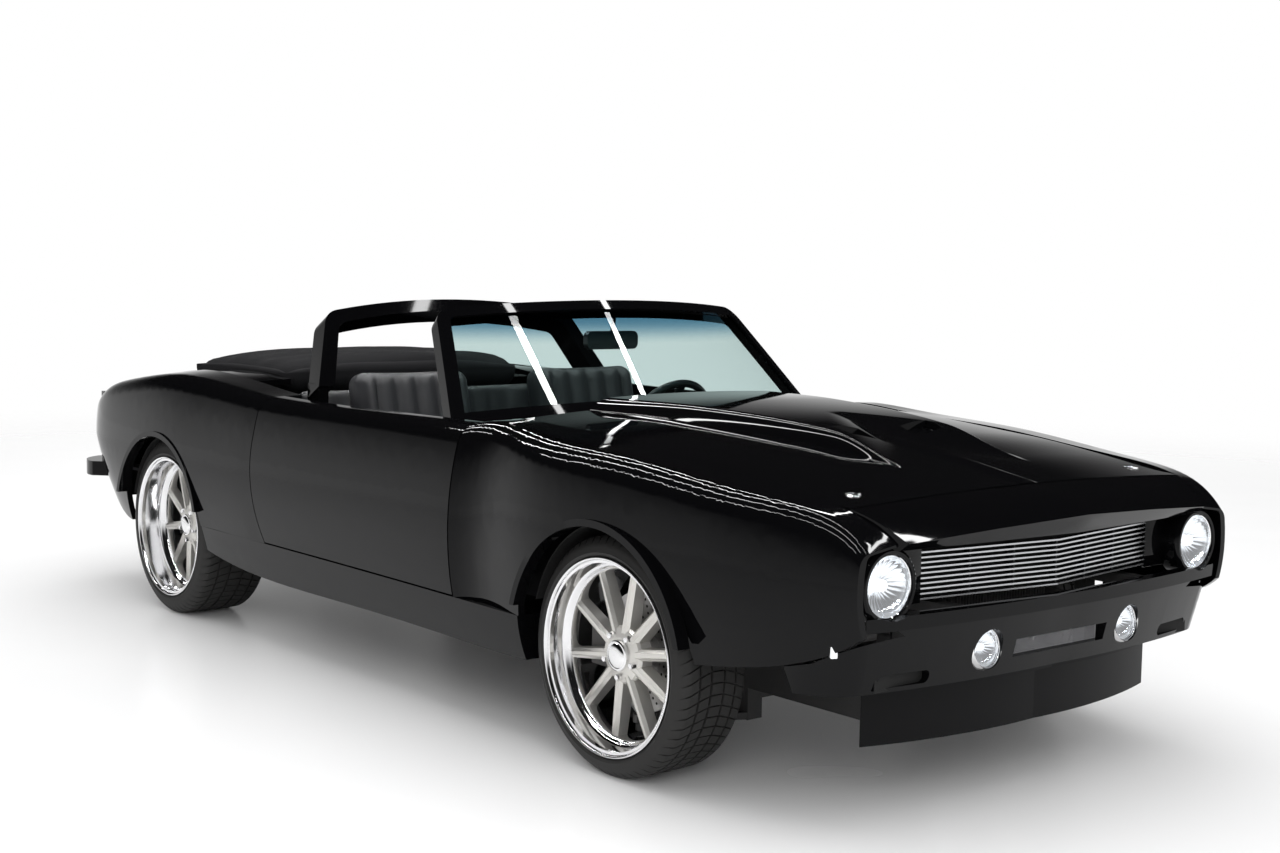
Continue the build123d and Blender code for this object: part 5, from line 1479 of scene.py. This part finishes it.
@dataclass
class Tail:
    """Bright frames and ribs of the tail lamps, a blank plate and the pipes' rolled tips."""

    shop: Workshop
    lamps: tuple[float, float] = (0.330, 0.480)
    lamp_width: float = 0.140
    low: float = 0.640
    high: float = 0.726
    face: float = -3.716
    frame: float = 0.007
    plate: tuple[float, float, float] = (0.155, 0.600, 0.690)
    pipe: tuple[float, float, float] = (0.292, 0.2075, 0.0315)

    def build(self) -> None:
        """Makes the frames, the ribs, the plate and the tips."""
        frames, ribs = [], []
        for side in Side:
            for start in self.lamps:
                near, far = sorted((side.value * start, side.value * (start + self.lamp_width)))
                frames += self.border(near, far)
                ribs += [self.bar(near + 0.004, far - 0.004, z, z + 0.002, 0.010) for z in (0.66, 0.68, 0.70)]
        half, low, high = self.plate
        plate = [self.bar(-half, half, low, high, 0.0)]
        rows = (("lamp_frames", frames, BRIGHT_METAL), ("lamp_ribs", ribs, RED_LENS), ("blank_plate", plate, TRIM))
        for name, meshes, finish in rows:
            self.shop.group(name, meshes, finish)
        self.tips()

    def tips(self) -> None:
        """Rolled bright tips on the ends of both pipes, with dark discs in the bores: soot and painted shade."""
        low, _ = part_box("exhaust")
        rings, bores = [], []
        for side in Side:
            spot = Matrix.Translation((low.x, side.value * self.pipe[0], self.pipe[1]))
            aim = spot @ Matrix.Rotation(math.pi / 2, 4, "Z")
            r = self.pipe[2]
            lip, bore = r + 0.003, r - 0.005
            roll = [(r - 0.004, 0.0), (r - 0.003, 0.003), (r, 0.004)]
            section = roll + [(lip, 0.002), (lip, -0.06), (r - 0.004, -0.06)]
            rings.append(moved(spun(section, 48), aim))
            bores.append(moved(spun([(0.0001, -0.002), (bore, -0.002), (bore, 0.001), (0.0001, 0.001)], 48), aim))
        for name, meshes, finish in (("pipe_tips", rings, BRIGHT_METAL), ("pipe_bore_soot_and_shade", bores, LINING_AND_PAINTED_SHADE)):
            self.shop.group(name, meshes, finish)

    def surface(self, width: float) -> float:
        """Frame X of the tail's skin at a width."""
        return self.shop.station(self.face + 0.020 * abs(width) ** 1.5 / 0.3)

    def bar(self, near: float, far: float, low: float, high: float, proud: float) -> bmesh.types.BMesh:
        """Rounded bar on the tail's face."""
        x = self.surface((near + far) / 2)
        return block((x - 0.004 - proud, near, low), (x + 0.012, far, high), 0.0009, 2)

    def border(self, near: float, far: float) -> list[bmesh.types.BMesh]:
        """Four bars round one lamp.

        Args:
            near: Lower width of the lamp.
            far: Higher width of the lamp.

        Returns:
            The four bars.
        """
        edge = self.frame
        return [
            self.bar(near - edge, far + edge, self.high, self.high + edge, 0.009),
            self.bar(near - edge, far + edge, self.low - edge, self.low, 0.009),
            self.bar(near - edge, near, self.low, self.high, 0.009),
            self.bar(far, far + edge, self.low, self.high, 0.009),
        ]


@dataclass
class Undersides:
    """Mechanical pieces and linings that keep the frame's own shape."""

    shop: Workshop

    def build(self) -> None:
        """Gives every such node its finish."""
        rows = {
            CHASSIS_PAINT: ("front_subframe", "leaf_springs", "control_arms", "rear_axle", "fuel_tank"),
            CAST_IRON: ("driveline", "knuckle_left", "knuckle_right"),
            PIPE_STEEL: ("exhaust",),
            SATIN_BLACK: ("air_dam",),
            LINING_AND_PAINTED_SHADE: ("front_wells", "rear_tubs"),
            CARPET: ("floor_pan",),
            TRIM: ("dashboard",),
            MOULDED: ("rear_view_mirror", "steering_wheel"),
            SCREEN_GLASS: ("windshield_glass",),
            RED_LENS: ("tail_lamps",),
        }
        for finish, nodes in rows.items():
            for node in nodes:
                self.shop.dress(node, finish)


@dataclass
class Studio:
    """Pale floor, soft lamps, dark flags for the gloss and the camera."""

    eye: tuple[float, float, float] = (5.0308, -3.7302, 1.3662)
    heading: float = 140.5658
    pitch: float = -5.1551
    roll: float = -0.9927
    lens_px: float = 1748.67
    image_width: int = 1280
    floor_radius: float = 60.0
    fade_from: float = 5.5
    flag_fade: float = 7.0

    def build(self) -> None:
        """Sets the camera, the world, the lamps and the floor."""
        bpy.context.scene.view_settings.view_transform = "Standard"
        self.camera()
        self.world()
        self.floor()
        self.lamps()
        self.flags()

    def camera(self) -> None:
        """Puts the camera where the photograph was taken."""
        data = bpy.data.cameras.new("camera")
        data.sensor_width = 36.0
        data.lens = self.lens_px / self.image_width * data.sensor_width
        data.clip_end = 200.0
        camera = bpy.data.objects.new("camera", data)
        bpy.context.scene.collection.objects.link(camera)
        yaw, pitch, roll = (math.radians(a) for a in (self.heading, self.pitch, self.roll))
        ahead = Vector((math.cos(pitch) * math.cos(yaw), math.cos(pitch) * math.sin(yaw), math.sin(pitch)))
        level = Vector((math.sin(yaw), -math.cos(yaw), 0.0))
        down = -level.cross(ahead)
        right = level * math.cos(roll) + down * math.sin(roll)
        up = right.cross(ahead)
        turn = Matrix((right, up, -ahead)).transposed().to_4x4()
        camera.matrix_world = Matrix.Translation(self.eye) @ turn
        bpy.context.scene.camera = camera

    def world(self) -> None:
        """White for what looks at the background and, at the same strength, for what is lit by it."""
        world = bpy.data.worlds.new("studio")
        bpy.context.scene.world = world
        graph = Graph(world)
        path = graph.node("LightPath")
        seen = [graph.value(path, name) for name in ("Is Camera Ray", "Is Glossy Ray", "Is Transmission Ray")]
        share = graph.value(graph.node("Math", {"operation": "MAXIMUM"}, {0: seen[0], 1: seen[1]}))
        share = graph.value(graph.node("Math", {"operation": "MAXIMUM"}, {0: share, 1: seen[2]}))
        soft = graph.node("Background", None, {"Color": (1.0, 1.0, 1.0, 1.0), "Strength": 1.0})
        white = graph.node("Background", None, {"Color": (1.0, 1.0, 1.0, 1.0), "Strength": 1.0})
        mixed = graph.node("MixShader", None, {0: share, 1: graph.value(soft), 2: graph.value(white)})
        graph.finish(mixed, "OutputWorld")

    def floor(self) -> None:
        """A pale floor that fades into the background far from the car."""
        mesh = bmesh.new()
        bmesh.ops.create_circle(mesh, cap_ends=True, segments=96, radius=self.floor_radius)
        data = bpy.data.meshes.new("floor")
        mesh.to_mesh(data)
        mesh.free()
        floor = bpy.data.objects.new("floor", data)
        bpy.context.scene.collection.objects.link(floor)
        made = bpy.data.materials.new("pale_floor")
        graph = Graph(made)
        place = graph.value(graph.node("TexCoord"), "Object")
        reach = graph.value(graph.node("VectorMath", {"operation": "LENGTH"}, {0: place}), "Value")
        sockets = {0: reach, 1: self.fade_from, 2: self.fade_from * 2}
        fade = graph.value(graph.node("MapRange", {"interpolation_type": "SMOOTHSTEP"}, sockets))
        cloud = graph.value(graph.node("TexNoise", None, {"Vector": place, "Scale": 0.8}))
        colour = graph.colour(cloud, (0.92, 0.92, 0.925), (0.94, 0.94, 0.94))
        pale = graph.node("BsdfPrincipled", None, {"Base Color": colour, "Roughness": cloud * 0.1 + 0.2})
        clear = graph.node("BsdfTransparent")
        graph.finish(graph.node("MixShader", None, {0: fade, 1: graph.value(pale), 2: graph.value(clear)}))
        data.materials.append(made)
        floor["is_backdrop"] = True

    def lamps(self) -> None:
        """Large soft lamps overhead and on each side."""
        rows = (
            ("ceiling", (0.0, 0.0, 6.0), (0.0, 0.0, 0.0), (9.0, 6.0), 260.0),
            ("front", (6.5, -5.0, 3.6), (0.6, 0.0, 0.5), (4.0, 3.0), 130.0),
            ("rear", (-6.5, 5.0, 3.6), (-0.6, 0.0, 0.5), (4.0, 3.0), 100.0),
        )
        for name, place, aim, size, power in rows:
            data = bpy.data.lights.new(name, "AREA")
            data.shape = "RECTANGLE"
            data.size, data.size_y = size
            data.energy = power
            lamp = bpy.data.objects.new(name, data)
            lamp.location = place
            lamp.rotation_euler = (Vector(aim) - Vector(place)).to_track_quat("-Z", "Y").to_euler()
            lamp.visible_glossy = False
            bpy.context.scene.collection.objects.link(lamp)

    def flags(self) -> None:
        """Dark surround and thin strip lamps that only the gloss sees, as a studio hangs them for a black car."""
        mesh = bmesh.new()
        bmesh.ops.create_uvsphere(mesh, u_segments=48, v_segments=24, radius=22.0)
        low = [v for v in mesh.verts if v.co.z < -0.01]
        bmesh.ops.delete(mesh, geom=low, context="VERTS")
        bmesh.ops.reverse_faces(mesh, faces=mesh.faces)
        self.gloss_only("flag", mesh, (0.92, 0.92, 0.92), (0.008, 0.008, 0.008), 1.0)
        strips = bmesh.new()
        for y in (-2.6, -1.1, 0.5, 2.1):
            strip = bmesh.ops.create_grid(strips, x_segments=1, y_segments=1, size=0.5)
            shape = Matrix.Translation((0.0, y, 4.2)) @ Matrix.Diagonal((9.0, 0.11, 1.0, 1.0))
            bmesh.ops.transform(strips, matrix=shape, verts=strip["verts"])
        self.gloss_only("strips", strips, (1.0, 1.0, 1.0), (1.0, 1.0, 1.0), 40.0)

    def gloss_only(
        self, name: str, mesh: bmesh.types.BMesh, low: Sequence[float], high: Sequence[float], power: float
    ) -> None:
        """Adds a glowing sheet of the stage that shows in reflections alone, from one colour low down to another.

        Args:
            name: Name of the sheet.
            mesh: Its shape, which is freed.
            low: Colour at the floor.
            high: Colour high up.
            power: Strength of the glow.
        """
        data = bpy.data.meshes.new(name)
        mesh.to_mesh(data)
        mesh.free()
        sheet = bpy.data.objects.new(name, data)
        bpy.context.scene.collection.objects.link(sheet)
        made = bpy.data.materials.new(name)
        graph = Graph(made)
        height = graph.node("SeparateXYZ", None, {0: graph.value(graph.node("TexCoord"), "Object")})
        sockets = {0: graph.value(height, "Z"), 1: 0.0, 2: self.flag_fade}
        share = graph.value(graph.node("MapRange", {"interpolation_type": "SMOOTHSTEP"}, sockets))
        glow = graph.node("Emission", None, {"Color": graph.colour(share, low, high), "Strength": power})
        graph.finish(glow)
        data.materials.append(made)
        for ray in ("camera", "diffuse", "transmission", "volume_scatter", "shadow"):
            setattr(sheet, "visible_" + ray, False)
        sheet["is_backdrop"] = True


def main() -> None:
    """Builds every sub-assembly in order."""
    logging.basicConfig(level=logging.INFO)
    shop = Workshop()
    wheels = [RoadWheel(shop, "front_" + side, 0.066) for side in ("left", "right")]
    wheels += [RoadWheel(shop, "rear_" + side, 0.098) for side in ("left", "right")]
    lamps = [
        RoundLamp(shop, "headlamp", "headlamps", 0.796, 0.640, 0.618, 0.078, 0.020, BLACK_PAINT),
        RoundLamp(shop, "fog_lamp", "fog_lamps", 0.812, 0.291, 0.430, 0.050, 0.009, BRIGHT_METAL, math.radians(6)),
    ]
    trim = (Hood(shop), Grille(shop), *lamps, Cabin(shop), Dials(shop), Engine(shop), Tail(shop))
    for assembly in (Undersides(shop), Panels(shop), *trim, *wheels):
        assembly.build()
        LOG.info("%s built", type(assembly).__name__)
    Studio().build()


if __name__ == "__main__":
    for spare in list(bpy.data.objects):
        bpy.data.objects.remove(spare)
    main()
